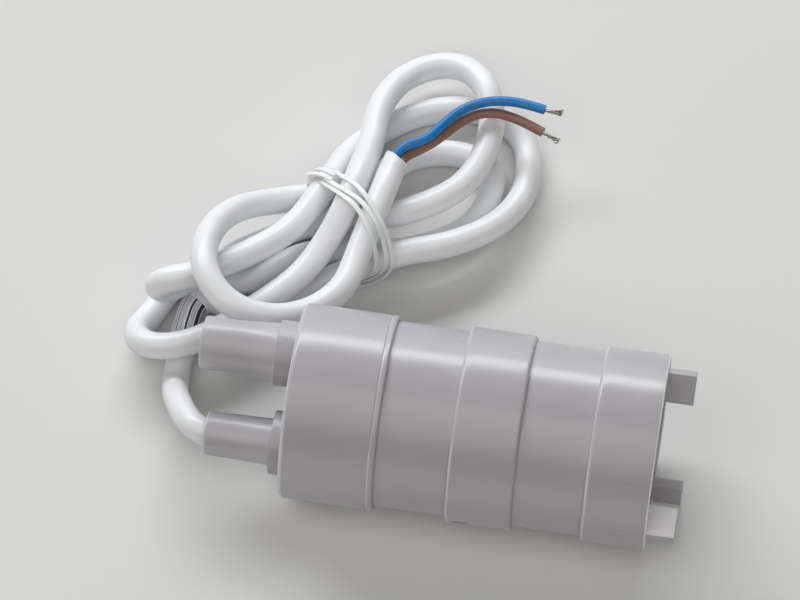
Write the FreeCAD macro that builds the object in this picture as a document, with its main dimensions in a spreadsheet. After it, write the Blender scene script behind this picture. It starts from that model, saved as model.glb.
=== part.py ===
import FreeCAD, Part
import math
import os

import Sketcher

# Submersible pump for a caravan water tank, lying on its side.
# Row frame: X along the pump axis with the inlet feet at +X, Z up, floor at z = 0,
# origin on the floor under the middle of the pump without its cable.
# Along the pump, "station" counts from the tip of the outlet spigot towards the feet.

doc = FreeCAD.newDocument("submersible_pump")
sizes = doc.addObject("Spreadsheet::Sheet", "Sizes")

DRIVING = [
    ("tube_radius", 19.0, "outer radius of both casing tubes"),
    ("ring_step", 1.0, "cap, collar and suction cover beyond the tubes' outside"),
    ("tube_wall", 1.1, "wall of the casing tubes"),
    ("fit_gap", 0.05, "radial gap between pieces that slide into each other"),
    ("spigot_reach", 19.9, "outlet spigot beyond the cap"),
    ("cap_length", 19.4, "length of the top cap"),
    ("cap_end", 2.4, "thickness of the cap's end wall"),
    ("upper_show", 14.7, "casing tube seen between cap and collar"),
    ("collar_length", 13.6, "length of the middle collar"),
    ("collar_rib", 1.6, "rib inside the collar between the tube ends"),
    ("lower_show", 14.1, "casing tube seen between collar and suction cover"),
    ("cover_length", 13.2, "length of the suction cover"),
    ("foot_reach", 5.8, "feet beyond the suction cover"),
    ("foot_inner", 12.3, "radius where a foot starts"),
    ("foot_inset", 0.8, "feet inside the cover's outer radius"),
    ("foot_thick", 2.2, "thickness of a foot"),
    ("rim_wall", 1.8, "wall round the open recess of the suction cover"),
    ("edge_round", 0.7, "rounding of the outer rims"),
    ("nozzle_offset", 9.1, "nozzle axes from the pump axis"),
    ("nozzle_clock", 30.0, "angle of the nozzle line above the horizontal"),
    ("spigot_land", 6.5, "cylindrical hose land at the spigot tip"),
    ("spigot_tip", 5.45, "radius of the hose land"),
    ("spigot_root", 6.0, "radius of the outlet spigot at its base ring"),
    ("spigot_bore", 3.9, "radius of the water passage"),
    ("spigot_ring", 6.75, "radius of the outlet base ring"),
    ("spigot_ring_long", 4.4, "length of the outlet base ring"),
    ("gland_reach", 16.7, "cable spigot beyond the cap"),
    ("gland_tip", 4.45, "radius of the cable spigot at its tip"),
    ("gland_root", 4.8, "radius of the cable spigot at its base ring"),
    ("gland_ring", 6.6, "radius of the cable base ring"),
    ("gland_ring_long", 3.0, "length of the cable base ring"),
    ("cable_radius", 2.8, "radius of the white two-core cable"),
    ("core_radius", 1.05, "radius of a coloured core"),
    ("strand_radius", 0.55, "radius of the tinned strands of a core"),
    ("tie_radius", 0.5, "radius of the tie round the hank"),
    ("label_thick", 0.18, "thickness of the paper label round the cable"),
    ("gland_wall", 0.6, "rubber sleeve round the cable in its spigot"),
    ("drain_radius", 1.85, "small round hole in the collar"),
    ("drain_inset", 3.4, "hole centre from the collar's cap side"),
    ("drain_clock", 202.0, "angle of the hole round the collar"),
    ("capsule_radius", 14.9, "outer radius of the sealed motor capsule"),
    ("capsule_wall", 1.0, "wall of the motor capsule"),
    ("lead_room", 2.2, "room for the inner leads between cable entry and terminal tabs"),
    ("entry_stub", 1.0, "cable sheath beyond the capsule lid, inside the capsule"),
    ("lid_flange", 1.8, "flange of the capsule lid"),
    ("lid_plug", 2.6, "part of the lid inside the capsule"),
    ("ring_cord", 0.7, "cross-section radius of the O-ring"),
    ("groove_lip", 0.6, "lid plug beyond the O-ring groove"),
    ("groove_play", 0.1, "O-ring groove wider than its ring"),
    ("vane_ring_long", 3.0, "guide vane ring at the pump end of the capsule"),
    ("vane_ring_wall", 0.9, "outer hoop of the guide vane ring"),
    ("vane_thick", 1.6, "thickness of a guide vane"),
    ("chamber_gap", 0.8, "free space each side of the impeller"),
    ("impeller_radius", 12.5, "outer radius of the impeller"),
    ("impeller_disc", 1.4, "back disc of the impeller"),
    ("impeller_vane", 3.4, "height of the impeller vanes"),
    ("impeller_blade", 1.2, "thickness of an impeller vane"),
    ("impeller_hub", 3.2, "hub radius of the impeller"),
    ("nut_radius", 2.1, "radius of the impeller nut"),
    ("nut_length", 1.4, "length of the impeller nut"),
    ("inlet_radius", 6.5, "radius of the suction hole"),
    ("inlet_plate", 1.6, "thickness of the suction plate"),
    ("recess_deep", 4.6, "depth of the open recess between the feet"),
    ("shaft_radius", 1.15, "motor shaft radius"),
    ("shaft_clear", 0.5, "free space round the shaft in plain holes"),
    ("run_gap", 0.05, "running clearance round the shaft"),
    ("can_wall", 0.8, "wall of the motor can"),
    ("can_length", 32.0, "length of the motor can"),
    ("bell_length", 3.0, "thickness of the plastic motor end"),
    ("bell_lip", 1.2, "centring lip of the motor end inside the can"),
    ("bell_lip_wall", 1.5, "wall of the centring lip"),
    ("magnet_thick", 3.4, "radial thickness of the magnets"),
    ("magnet_length", 20.0, "length of the magnets"),
    ("air_gap", 0.5, "gap between armature and magnets"),
    ("core_length", 15.0, "length of the armature core"),
    ("slot_width", 2.4, "winding slots of the armature core"),
    ("slot_floor", 4.2, "radius where a winding slot starts"),
    ("winding_length", 3.2, "winding head on each side of the core"),
    ("winding_inset", 1.15, "winding heads inside the core's outer radius"),
    ("winding_bore", 0.4, "free space between winding heads and shaft"),
    ("commutator_radius", 3.3, "radius of the commutator"),
    ("commutator_length", 4.0, "length of the commutator"),
    ("brush_space", 2.3, "from the motor end to the commutator"),
    ("washer_thick", 0.5, "thickness of a thrust washer"),
    ("washer_radius", 2.4, "radius of a thrust washer"),
    ("bush_radius", 3.4, "outer radius of the bushes"),
    ("bush_length", 3.0, "length of the bushes"),
    ("seal_radius", 5.2, "outer radius of the shaft seal"),
    ("seal_length", 2.6, "length of the shaft seal"),
    ("retainer_thick", 0.8, "thickness of the seal retainer"),
    ("brush_size", 2.2, "width of a square brush"),
    ("brush_length", 3.4, "length of a brush"),
    ("leaf_thick", 0.4, "thickness of a brush spring leaf"),
    ("tab_reach", 2.5, "terminal tabs beyond the motor end"),
    ("tab_offset", 7.0, "terminal tabs from the motor axis"),
    ("disc_radius", 2.6, "radius of the suppression capacitor"),
    ("disc_thick", 1.8, "thickness of the suppression capacitor"),
    ("screw_radius", 0.95, "shank radius of a motor screw"),
    ("screw_head", 1.7, "head radius of a motor screw"),
    ("screw_head_long", 1.6, "head length of a motor screw"),
    ("screw_offset", 9.4, "motor screws from the axis"),
    ("screw_bite", 2.0, "screw length past the motor face"),
]
STATIONS = [
    ("ring_radius", "tube_radius + ring_step"),
    ("foot_outer", "ring_radius - foot_inset"),
    ("liner", "tube_radius - tube_wall"),
    ("sleeve", "tube_radius + fit_gap"),
    ("cap_rim", "spigot_reach + cap_length"),
    ("cap_inside", "spigot_reach + cap_end"),
    ("collar_at", "cap_rim + upper_show"),
    ("collar_rim", "collar_at + collar_length"),
    ("rib_at", "collar_at + (collar_length - collar_rib) / 2"),
    ("rib_rim", "rib_at + collar_rib"),
    ("cover_at", "collar_rim + lower_show"),
    ("cover_rim", "cover_at + cover_length"),
    ("recess_at", "cover_rim - recess_deep"),
    ("inlet_at", "recess_at - inlet_plate"),
    ("overall", "cover_rim + foot_reach"),
    ("impeller_end", "inlet_at - chamber_gap"),
    ("vanes_at", "impeller_end - impeller_vane"),
    ("impeller_at", "vanes_at - impeller_disc"),
    ("guide_rim", "impeller_at - chamber_gap"),
    ("guide_at", "guide_rim - vane_ring_long"),
    ("capsule_bore", "capsule_radius - capsule_wall"),
    ("plug_radius", "capsule_bore - fit_gap"),
    ("capsule_floor", "guide_at - capsule_wall"),
    ("seal_at", "capsule_floor - seal_length"),
    ("can_rim", "seal_at - retainer_thick"),
    ("can_at", "can_rim - can_length"),
    ("can_bore", "plug_radius - can_wall"),
    ("bell_at", "can_at - bell_length"),
    ("lid_end", "bell_at - tab_reach - lead_room - entry_stub"),
    ("capsule_at", "lid_end - lid_plug"),
    ("lid_at", "capsule_at - lid_flange"),
    ("magnet_bore", "can_bore - magnet_thick"),
    ("core_outer", "magnet_bore - air_gap"),
    ("winding_radius", "core_outer - winding_inset"),
    ("winding_inner", "shaft_radius + winding_bore"),
    ("commutator_at", "can_at + brush_space"),
    ("winding_at", "commutator_at + commutator_length"),
    ("core_at", "winding_at + winding_length"),
    ("core_rim", "core_at + core_length"),
    ("winding_rim", "core_rim + winding_length"),
    ("magnet_at", "core_at + (core_length - magnet_length) / 2"),
    ("gland_at", "spigot_reach - gland_reach"),
    ("entry_end", "lid_end + entry_stub"),
    ("groove_rim", "lid_end - groove_lip"),
    ("groove_at", "groove_rim - groove_play - ring_cord * 2"),
    ("groove_floor", "plug_radius - ring_cord * 2"),
    ("brush_at", "commutator_at + (commutator_length - brush_size) / 2"),
    ("leaf_radius", "commutator_radius + run_gap + brush_length"),
    ("nozzle_y", "nozzle_offset * cos(nozzle_clock * 1 deg)"),
    ("nozzle_z", "nozzle_offset * sin(nozzle_clock * 1 deg)"),
]
KNOWN = {alias for alias, _, _ in DRIVING} | {alias for alias, _ in STATIONS}
row = 0
for alias, value, note in DRIVING:
    row += 1
    sizes.set("A%d" % row, alias)
    sizes.set("B%d" % row, repr(value))
    sizes.setAlias("B%d" % row, alias)
    sizes.set("C%d" % row, note)
doc.recompute()
for alias, formula in STATIONS:
    row += 1
    sizes.set("A%d" % row, alias)
    sizes.set("B%d" % row, "=" + formula)
    sizes.setAlias("B%d" % row, alias)
doc.recompute()


def expr(words):
    """Turns a formula in size names into one that points at the sheet."""
    out = []
    word = ""
    for sign in words + " ":
        if sign.isalnum() or sign == "_":
            word += sign
        else:
            out.append("Sizes." + word if word in KNOWN else word)
            word = ""
            out.append(sign)
    return "".join(out).strip()


def worth(words):
    """The plain number a formula in size names comes to."""
    result = sizes.evalExpression(words)
    return float(getattr(result, "Value", result))


def settle(thing, clock=0, shift=("0", "0")):
    """Puts a body whose x is the station into the row frame, turned about the pump axis."""
    thing.Placement = FreeCAD.Placement(
        FreeCAD.Vector(0, 0, 0), FreeCAD.Rotation(FreeCAD.Vector(1, 0, 0), clock))
    thing.setExpression("Placement.Base.x", expr("-overall / 2"))
    thing.setExpression("Placement.Base.y", expr(shift[0]))
    thing.setExpression("Placement.Base.z", expr("ring_radius + " + shift[1]))


def turned(label, outline, angle=360, clock=0, shift=("0", "0")):
    """A body of revolution; the outline lists station and radius formulas."""
    body = doc.addObject("PartDesign::Body", "Body_" + label)
    body.Label = label
    sketch = body.newObject("Sketcher::SketchObject", "Outline_" + label)
    plane = [f for f in body.Origin.OriginFeatures if f.Role == "XY_Plane"][0]
    sketch.AttachmentSupport = (plane, "")
    sketch.MapMode = "FlatFace"
    guess = [FreeCAD.Vector(worth(station), worth(radius), 0) for station, radius in outline]
    count = len(guess)
    for k in range(count):
        sketch.addGeometry(Part.LineSegment(guess[k], guess[(k + 1) % count]), False)
    for k in range(count):
        sketch.addConstraint(Sketcher.Constraint("Coincident", k, 2, (k + 1) % count, 1))
    for k, (station, radius) in enumerate(outline):
        at_x = sketch.addConstraint(Sketcher.Constraint("DistanceX", -1, 1, k, 1, guess[k].x))
        sketch.setExpression("Constraints[%d]" % at_x, expr(station))
        if radius == "0":
            sketch.addConstraint(Sketcher.Constraint("PointOnObject", k, 1, -1))
        else:
            at_y = sketch.addConstraint(Sketcher.Constraint("DistanceY", -1, 1, k, 1, guess[k].y))
            sketch.setExpression("Constraints[%d]" % at_y, expr(radius))
    spin = body.newObject("PartDesign::Revolution", "Spin_" + label)
    spin.Profile = sketch
    spin.ReferenceAxis = (sketch, ["H_Axis"])
    spin.Angle = angle
    body.Tip = spin
    settle(body, clock, shift)
    doc.recompute()
    return body


def ring(label, start, end, inner, outer, **more):
    """A plain ring or, with inner 0, a plain round bar."""
    return turned(label, [(start, inner), (end, inner), (end, outer), (start, outer)], **more)


def rod(body, start, long, radius, shift=("0", "0"), cut=False, tip=None):
    """Adds or cuts a cylinder, or a cone when a tip radius is given, parallel to the axis."""
    kind = "Subtractive" if cut else "Additive"
    shape = "Cone" if tip else "Cylinder"
    rod_ = body.newObject("PartDesign::%s%s" % (kind, shape), "Rod_" + body.Label)
    rod_.Placement = FreeCAD.Placement(
        FreeCAD.Vector(0, 0, 0), FreeCAD.Rotation(FreeCAD.Vector(0, 1, 0), 90))
    rod_.setExpression("Placement.Base.x", expr(start))
    rod_.setExpression("Placement.Base.y", expr(shift[0]))
    rod_.setExpression("Placement.Base.z", expr(shift[1]))
    rod_.setExpression("Height", expr(long))
    if tip:
        rod_.setExpression("Radius1", expr(tip))
        rod_.setExpression("Radius2", expr(radius))
    else:
        rod_.setExpression("Radius", expr(radius))
    body.Tip = rod_
    doc.recompute()
    return rod_


def fin(body, start, long, inner, reach, thick, clock, cut=False):
    """Adds or cuts a flat radial block that stands at a clock angle round the axis."""
    kind = "Subtractive" if cut else "Additive"
    block = body.newObject("PartDesign::%sBox" % kind, "Fin_" + body.Label)
    block.Placement = FreeCAD.Placement(
        FreeCAD.Vector(0, 0, 0), FreeCAD.Rotation(FreeCAD.Vector(1, 0, 0), clock))
    side = "(%s) * cos(%g deg) + (%s) / 2 * sin(%g deg)" % (inner, clock, thick, clock)
    rise = "(%s) * sin(%g deg) - (%s) / 2 * cos(%g deg)" % (inner, clock, thick, clock)
    block.setExpression("Placement.Base.x", expr(start))
    block.setExpression("Placement.Base.y", expr(side))
    block.setExpression("Placement.Base.z", expr(rise))
    block.setExpression("Length", expr(long))
    block.setExpression("Width", expr(reach))
    block.setExpression("Height", expr(thick))
    body.Tip = block
    doc.recompute()
    return block


def soften(body, rims, radius="edge_round"):
    """Rounds the circular edges found at the given stations and radii."""
    wanted = []
    for station, round_radius in rims:
        wanted.append((worth(station), worth(round_radius)))
    base = body.Tip
    names = []
    for number, edge in enumerate(base.Shape.Edges, start=1):
        if not isinstance(edge.Curve, Part.Circle) or edge.Length < 6.2 * edge.Curve.Radius:
            continue
        for station, round_radius in wanted:
            near = abs(edge.CenterOfMass.x - station) < 0.01
            if near and abs(edge.Curve.Radius - round_radius) < 0.01:
                names.append("Edge%d" % number)
    if len(names) != len(rims):
        raise RuntimeError("%s: %d of %d rims found" % (body.Label, len(names), len(rims)))
    soft = body.newObject("PartDesign::Fillet", "Soft_" + body.Label)
    soft.Base = (base, names)
    soft.setExpression("Radius", expr(radius))
    body.Tip = soft
    doc.recompute()


OUTLET = ("nozzle_y", "nozzle_z")
CABLE = ("-nozzle_y", "-nozzle_z")
SCREWS = [("0", "screw_offset"), ("0", "-screw_offset")]
FOOT_CLOCKS = (58, 182, 270)

# Top cap: a cup over the upper tube with the hose spigot and the cable spigot.
cap = turned("top_cap", [
    ("spigot_reach", "0"), ("cap_inside", "0"), ("cap_inside", "sleeve"),
    ("cap_rim", "sleeve"), ("cap_rim", "ring_radius"), ("spigot_reach", "ring_radius")])
rod(cap, "spigot_reach - spigot_ring_long", "spigot_ring_long + cap_end / 2", "spigot_ring", OUTLET)
rod(cap, "spigot_land", "spigot_reach - spigot_ring_long - spigot_land", "spigot_root", OUTLET,
    tip="spigot_tip")
rod(cap, "0", "spigot_land", "spigot_tip", OUTLET)
rod(cap, "spigot_reach - gland_ring_long", "gland_ring_long + cap_end / 2", "gland_ring", CABLE)
rod(cap, "gland_at", "gland_reach - gland_ring_long", "gland_root", CABLE, tip="gland_tip")
rod(cap, "-1", "cap_inside + 2", "spigot_bore", OUTLET, cut=True)
rod(cap, "gland_at - 1", "gland_reach + cap_end + 2", "cable_radius + gland_wall + fit_gap * 2", CABLE,
    cut=True)
soften(cap, [("spigot_reach", "ring_radius"), ("cap_rim", "ring_radius"), ("0", "spigot_tip")])

upper = ring("upper_tube", "cap_inside", "rib_at", "liner", "tube_radius")
lower = ring("lower_tube", "rib_rim", "inlet_at", "liner", "tube_radius")

collar = turned("mid_collar", [
    ("collar_at", "sleeve"), ("rib_at", "sleeve"), ("rib_at", "liner"), ("rib_rim", "liner"),
    ("rib_rim", "sleeve"), ("collar_rim", "sleeve"), ("collar_rim", "ring_radius"),
    ("collar_at", "ring_radius")])
soften(collar, [("collar_at", "ring_radius"), ("collar_rim", "ring_radius")])
drain = collar.newObject("PartDesign::SubtractiveCylinder", "Drain")
drain.Placement = FreeCAD.Placement(
    FreeCAD.Vector(0, 0, 0), FreeCAD.Rotation(FreeCAD.Vector(1, 0, 0), 202 - 90))
drain.setExpression("Placement.Base.x", expr("collar_at + drain_inset"))
drain.setExpression("Placement.Base.y", expr("tube_radius * cos(drain_clock * 1 deg)"))
drain.setExpression("Placement.Base.z", expr("tube_radius * sin(drain_clock * 1 deg)"))
drain.setExpression("Placement.Rotation.Angle", expr("(drain_clock - 90) * 1 deg"))
drain.setExpression("Radius", expr("drain_radius"))
drain.setExpression("Height", expr("ring_radius - tube_radius + 1"))
collar.Tip = drain
doc.recompute()

# Suction cover: a cup with a holed plate, an open recess behind it and three feet.
cover = turned("suction_cover", [
    ("cover_at", "sleeve"), ("inlet_at", "sleeve"), ("inlet_at", "inlet_radius"),
    ("recess_at", "inlet_radius"), ("recess_at", "ring_radius - rim_wall"),
    ("cover_rim", "ring_radius - rim_wall"), ("cover_rim", "ring_radius"), ("cover_at", "ring_radius")])
soften(cover, [("cover_at", "ring_radius"), ("cover_rim", "ring_radius")])
for clock in FOOT_CLOCKS:
    fin(cover, "recess_at", "overall - recess_at", "foot_inner", "foot_outer - foot_inner",
        "foot_thick", clock)

# Sealed motor capsule, its lid and what closes them.
capsule = turned("motor_capsule", [
    ("capsule_at", "capsule_bore"), ("capsule_floor", "capsule_bore"),
    ("capsule_floor", "seal_radius + fit_gap + capsule_wall"),
    ("seal_at", "seal_radius + fit_gap + capsule_wall"), ("seal_at", "seal_radius + fit_gap"),
    ("capsule_floor", "seal_radius + fit_gap"), ("capsule_floor", "shaft_radius + shaft_clear"),
    ("guide_at", "shaft_radius + shaft_clear"), ("guide_at", "capsule_radius"),
    ("capsule_at", "capsule_radius")])
for spot in SCREWS:
    rod(capsule, "capsule_floor - 1", "capsule_wall + 2", "screw_radius + fit_gap", spot, cut=True)
lid = turned("capsule_lid", [
    ("lid_at", "0"), ("lid_end", "0"), ("lid_end", "plug_radius"),
    ("groove_rim", "plug_radius"), ("groove_rim", "groove_floor"), ("groove_at", "groove_floor"),
    ("groove_at", "plug_radius"), ("capsule_at", "plug_radius"),
    ("capsule_at", "capsule_radius"), ("lid_at", "capsule_radius")])
rod(lid, "lid_at - 1", "lid_flange + lid_plug + 2", "cable_radius + fit_gap", CABLE, cut=True)
seal_ring = doc.addObject("Part::Torus", "lid_seal")
seal_ring.setExpression("Radius1", expr("plug_radius - ring_cord"))
seal_ring.setExpression("Radius2", expr("ring_cord - fit_gap / 2"))
seal_ring.Placement = FreeCAD.Placement(
    FreeCAD.Vector(0, 0, 0), FreeCAD.Rotation(FreeCAD.Vector(0, 1, 0), 90))
seal_ring.setExpression("Placement.Base.x", expr("(groove_at + groove_rim) / 2 - overall / 2"))
seal_ring.setExpression("Placement.Base.z", expr("ring_radius"))
gland = ring("cable_gland_seal", "gland_at + 1", "cap_inside", "cable_radius + fit_gap",
             "cable_radius + fit_gap + gland_wall", shift=CABLE)
entry = ring("cable_entry", "gland_at", "entry_end", "0", "cable_radius", shift=CABLE)


def fused(label, *things):
    """One node made of several bodies grown together."""
    whole = doc.addObject("Part::MultiFuse", "Whole_" + label)
    whole.Shapes = list(things)
    for thing in things:
        thing.Label = label + "_piece"
    whole.Label = label
    doc.recompute()
    return whole


# Guide vane ring: seats in the lower tube and carries the capsule on its hub disc.
hub = ring("guide_hub", "guide_at", "guide_rim", "shaft_radius + shaft_clear", "capsule_radius")
for k in range(6):
    fin(hub, "guide_at", "vane_ring_long", "capsule_radius - 1",
        "liner - fit_gap - vane_ring_wall / 2 - capsule_radius + 1", "vane_thick", 60 * k + 15)
for spot in SCREWS:
    rod(hub, "guide_at - 1", "vane_ring_long + 2", "screw_head + fit_gap", spot, cut=True)
hoop = ring("guide_hoop", "guide_at", "guide_rim", "liner - fit_gap - vane_ring_wall",
            "liner - fit_gap")
guide = fused("guide_vane_ring", hub, hoop)

# Motor: can, plastic end, magnets, bushes, seal.
can = turned("motor_can", [
    ("can_at", "can_bore"), ("can_rim - can_wall", "can_bore"),
    ("can_rim - can_wall", "bush_radius + fit_gap + can_wall"),
    ("can_rim - bush_length", "bush_radius + fit_gap + can_wall"),
    ("can_rim - bush_length", "bush_radius + fit_gap"), ("can_rim", "bush_radius + fit_gap"),
    ("can_rim", "plug_radius"), ("can_at", "plug_radius")])
for spot in SCREWS:
    rod(can, "can_rim - can_wall - 1", "can_wall + 2", "screw_radius + fit_gap", spot, cut=True)
bell = turned("motor_end_bell", [
    ("bell_at", "bush_radius + fit_gap"), ("can_at", "bush_radius + fit_gap"),
    ("can_at", "can_bore - bell_lip_wall"), ("can_at + bell_lip", "can_bore - bell_lip_wall"),
    ("can_at + bell_lip", "can_bore - fit_gap"), ("can_at", "can_bore - fit_gap"),
    ("can_at", "plug_radius"), ("bell_at", "plug_radius")])
front_bush = ring("front_bush", "can_rim - bush_length", "can_rim", "shaft_radius + run_gap",
                  "bush_radius")
rear_bush = ring("rear_bush", "bell_at", "can_at", "shaft_radius + run_gap", "bush_radius")
shaft_seal = ring("shaft_seal", "seal_at", "capsule_floor", "shaft_radius + run_gap", "seal_radius")
retainer = ring("seal_retainer", "can_rim", "seal_at", "shaft_radius + shaft_clear",
                "seal_radius + capsule_wall")
magnets = []
for name, clock in (("magnet_upper", 20), ("magnet_lower", 200)):
    magnets.append(turned(name, [
        ("magnet_at", "magnet_bore"), ("magnet_at + magnet_length", "magnet_bore"),
        ("magnet_at + magnet_length", "can_bore - fit_gap"), ("magnet_at", "can_bore - fit_gap")],
        angle=140, clock=clock))
screws = []
for name, spot in zip(("motor_screw_a", "motor_screw_b"), SCREWS):
    screws.append(turned(name, [
        ("can_rim - screw_bite", "0"), ("guide_at + screw_head_long", "0"),
        ("guide_at + screw_head_long", "screw_head"), ("guide_at", "screw_head"),
        ("guide_at", "screw_radius"), ("can_rim - screw_bite", "screw_radius")], shift=spot))

# Rotor: everything on the shaft.
shaft = ring("shaft", "bell_at + bush_length / 6", "impeller_end + nut_length", "0", "shaft_radius")
core = ring("armature_core", "core_at", "core_rim", "shaft_radius", "core_outer")
coils = ring("coil_rear", "winding_at", "core_at", "winding_inner", "winding_radius")
coils_front = ring("coil_front", "core_rim", "winding_rim", "winding_inner", "winding_radius")
for k in range(3):
    clock = 30 + 120 * k
    fin(core, "core_at - 1", "core_length + 2", "slot_floor", "core_outer", "slot_width", clock,
        cut=True)
    fin(coils, "core_at - 0.5", "core_length + 1", "slot_floor + fit_gap",
        "winding_radius - slot_floor - fit_gap - 0.2", "slot_width - fit_gap * 2", clock)
windings = fused("windings", coils, coils_front)
commutator = ring("commutator", "commutator_at", "winding_at", "shaft_radius", "commutator_radius")
washer_rear = ring("thrust_washer_rear", "commutator_at - washer_thick", "commutator_at",
                   "shaft_radius", "washer_radius")
washer_front = ring("thrust_washer_front", "winding_rim", "winding_rim + washer_thick",
                    "shaft_radius", "washer_radius")
impeller = turned("impeller", [
    ("impeller_at", "shaft_radius"), ("impeller_end", "shaft_radius"),
    ("impeller_end", "impeller_hub"), ("vanes_at", "impeller_hub"),
    ("vanes_at", "impeller_radius"), ("impeller_at", "impeller_radius")])
for k in range(6):
    fin(impeller, "vanes_at - 0.2", "impeller_vane + 0.2", "impeller_hub - 0.3",
        "impeller_radius - impeller_hub - 0.1", "impeller_blade", 60 * k)
nut = doc.addObject("Part::Prism", "Nut_block")
nut.Polygon = 6
nut.setExpression("Circumradius", expr("nut_radius"))
nut.setExpression("Height", expr("nut_length"))
nut_hole = doc.addObject("Part::Cylinder", "Nut_hole")
nut_hole.setExpression("Radius", expr("shaft_radius"))
nut_hole.setExpression("Height", expr("nut_length"))
for thing in (nut, nut_hole):
    thing.Placement = FreeCAD.Placement(
        FreeCAD.Vector(0, 0, 0), FreeCAD.Rotation(FreeCAD.Vector(0, 1, 0), 90))
    thing.setExpression("Placement.Base.x", expr("impeller_end - overall / 2"))
    thing.setExpression("Placement.Base.z", expr("ring_radius"))
nut_whole = doc.addObject("Part::Cut", "Nut_whole")
nut_whole.Base = nut
nut_whole.Tool = nut_hole
nut_whole.Label = "impeller_nut"


def slab(label, x0, long, y0, wide, z0, high):
    """A block given by station, side and height formulas from the pump axis."""
    box = doc.addObject("Part::Box", "Slab_" + label)
    box.Label = label
    box.setExpression("Length", expr(long))
    box.setExpression("Width", expr(wide))
    box.setExpression("Height", expr(high))
    box.setExpression("Placement.Base.x", expr("(%s) - overall / 2" % x0))
    box.setExpression("Placement.Base.y", expr(y0))
    box.setExpression("Placement.Base.z", expr("(%s) + ring_radius" % z0))
    return box


# Brushes, their spring leaves, terminal tabs and the suppression capacitor.
half = "brush_size / 2"
slab("brush_left", "brush_at", "brush_size", "commutator_radius + run_gap", "brush_length",
     "-" + half, "brush_size")
slab("brush_right", "brush_at", "brush_size", "-leaf_radius", "brush_length",
     "-" + half, "brush_size")
slab("spring_leaf_left", "can_at", "brush_at - can_at + brush_size", "leaf_radius", "leaf_thick",
     "-" + half, "brush_size")
slab("spring_leaf_right", "can_at", "brush_at - can_at + brush_size", "-leaf_radius - leaf_thick",
     "leaf_thick", "-" + half, "brush_size")
slab("terminal_left", "bell_at - tab_reach", "tab_reach", "tab_offset", "leaf_thick * 1.5",
     "-" + half, "brush_size")
slab("terminal_right", "bell_at - tab_reach", "tab_reach", "-tab_offset - leaf_thick * 1.5",
     "leaf_thick * 1.5", "-" + half, "brush_size")
ring("capacitor", "bell_at - disc_thick", "bell_at", "0", "disc_radius", shift=("0", "tab_offset + 0.6"))


def vec(point):
    return FreeCAD.Vector(*point)


def round_section(start, ahead, radius):
    return Part.Wire([Part.makeCircle(radius, start, ahead)])


def swept(label, edges, ahead, radius):
    """A solid tube of the given radius along edges that join smoothly."""
    spine = Part.Wire(edges)
    start = edges[0].valueAt(edges[0].FirstParameter)
    shell = Part.BRepOffsetAPI.MakePipeShell(spine)
    shell.add(round_section(start, ahead, radius))
    shell.build()
    shell.makeSolid()
    solid = shell.shape()
    expected = math.pi * radius ** 2 * spine.Length
    print("%s: length %.1f mm, volume %.1f of %.1f mm3" % (label, spine.Length, solid.Volume, expected))
    if not solid.isValid() or abs(solid.Volume / expected - 1) > 0.01:
        raise RuntimeError(label + " is not a clean tube")
    thing = doc.addObject("Part::Feature", "Tube_" + label)
    thing.Label = label
    thing.Shape = solid
    return thing, spine


def free_tube(label, points, radius, share=0.45):
    """Straight runs joined by tangent arcs."""
    points = [vec(p) for p in points]
    edges = []
    here = points[0]
    radii = []
    for before, corner, after in zip(points, points[1:], points[2:]):
        to_corner = (corner - before).normalize()
        onward = (after - corner).normalize()
        turn = to_corner.getAngle(onward)
        leg = share * min((corner - before).Length, (after - corner).Length)
        bend = leg / math.tan(turn / 2)
        radii.append(bend)
        begin = corner - to_corner * leg
        end = corner + onward * leg
        inward = (onward - to_corner).normalize()
        middle = corner + inward * (bend / math.cos(turn / 2) - bend)
        edges.append(Part.LineSegment(here, begin).toShape())
        edges.append(Part.Arc(begin, middle, end).toShape())
        here = end
    edges.append(Part.LineSegment(here, points[-1]).toShape())
    print("%s: tightest bend %.1f mm" % (label, min(radii) if radii else 0))
    return swept(label, edges, points[1] - points[0], radius)


def arc_or_line(start, ahead, end):
    """The circular arc that leaves start along ahead and reaches end."""
    chord = end - start
    turn = 2 * ahead.getAngle(chord)
    if turn < 0.004:
        return Part.LineSegment(start, end).toShape(), 1e9
    radius = chord.Length / 2 / math.sin(turn / 2)
    away = (ahead * chord.Length - chord * (ahead.dot(chord) / chord.Length)).normalize()
    middle = (start + end) * 0.5 + away * (radius * (1 - math.cos(turn / 2)))
    return Part.Arc(start, middle, end).toShape(), radius


def wound_edges(points):
    """Pairs of arcs that touch every side of the route at its middle."""
    points = [vec(p) for p in points]
    stops = [points[0]] + [(a + b) * 0.5 for a, b in zip(points[1:-2], points[2:-1])] + [points[-1]]
    ways = [(points[1] - points[0]).normalize()]
    ways += [(b - a).normalize() for a, b in zip(points[1:-2], points[2:-1])]
    ways += [(points[-1] - points[-2]).normalize()]
    edges = []
    tightest = 1e9
    for start, end, out, into in zip(stops, stops[1:], ways, ways[1:]):
        gap = end - start
        both = out + into
        if out.getAngle(into) < 0.003:
            edges.append(Part.LineSegment(start, end).toShape())
            continue
        spread = 2 * (1 - out.dot(into))
        root = math.sqrt(gap.dot(both) ** 2 + spread * gap.dot(gap))
        reach = (root - gap.dot(both)) / spread
        joint = ((start + out * reach) + (end - into * reach)) * 0.5
        first, radius_a = arc_or_line(start, out, joint)
        back, radius_b = arc_or_line(end, into * -1, joint)
        if radius_b < 1e8:
            halfway = back.valueAt((back.FirstParameter + back.LastParameter) / 2)
            second = Part.Arc(joint, halfway, end).toShape()
        else:
            second = Part.LineSegment(joint, end).toShape()
        edges += [first, second]
        tightest = min(tightest, radius_a, radius_b)
    return edges, tightest


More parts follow.
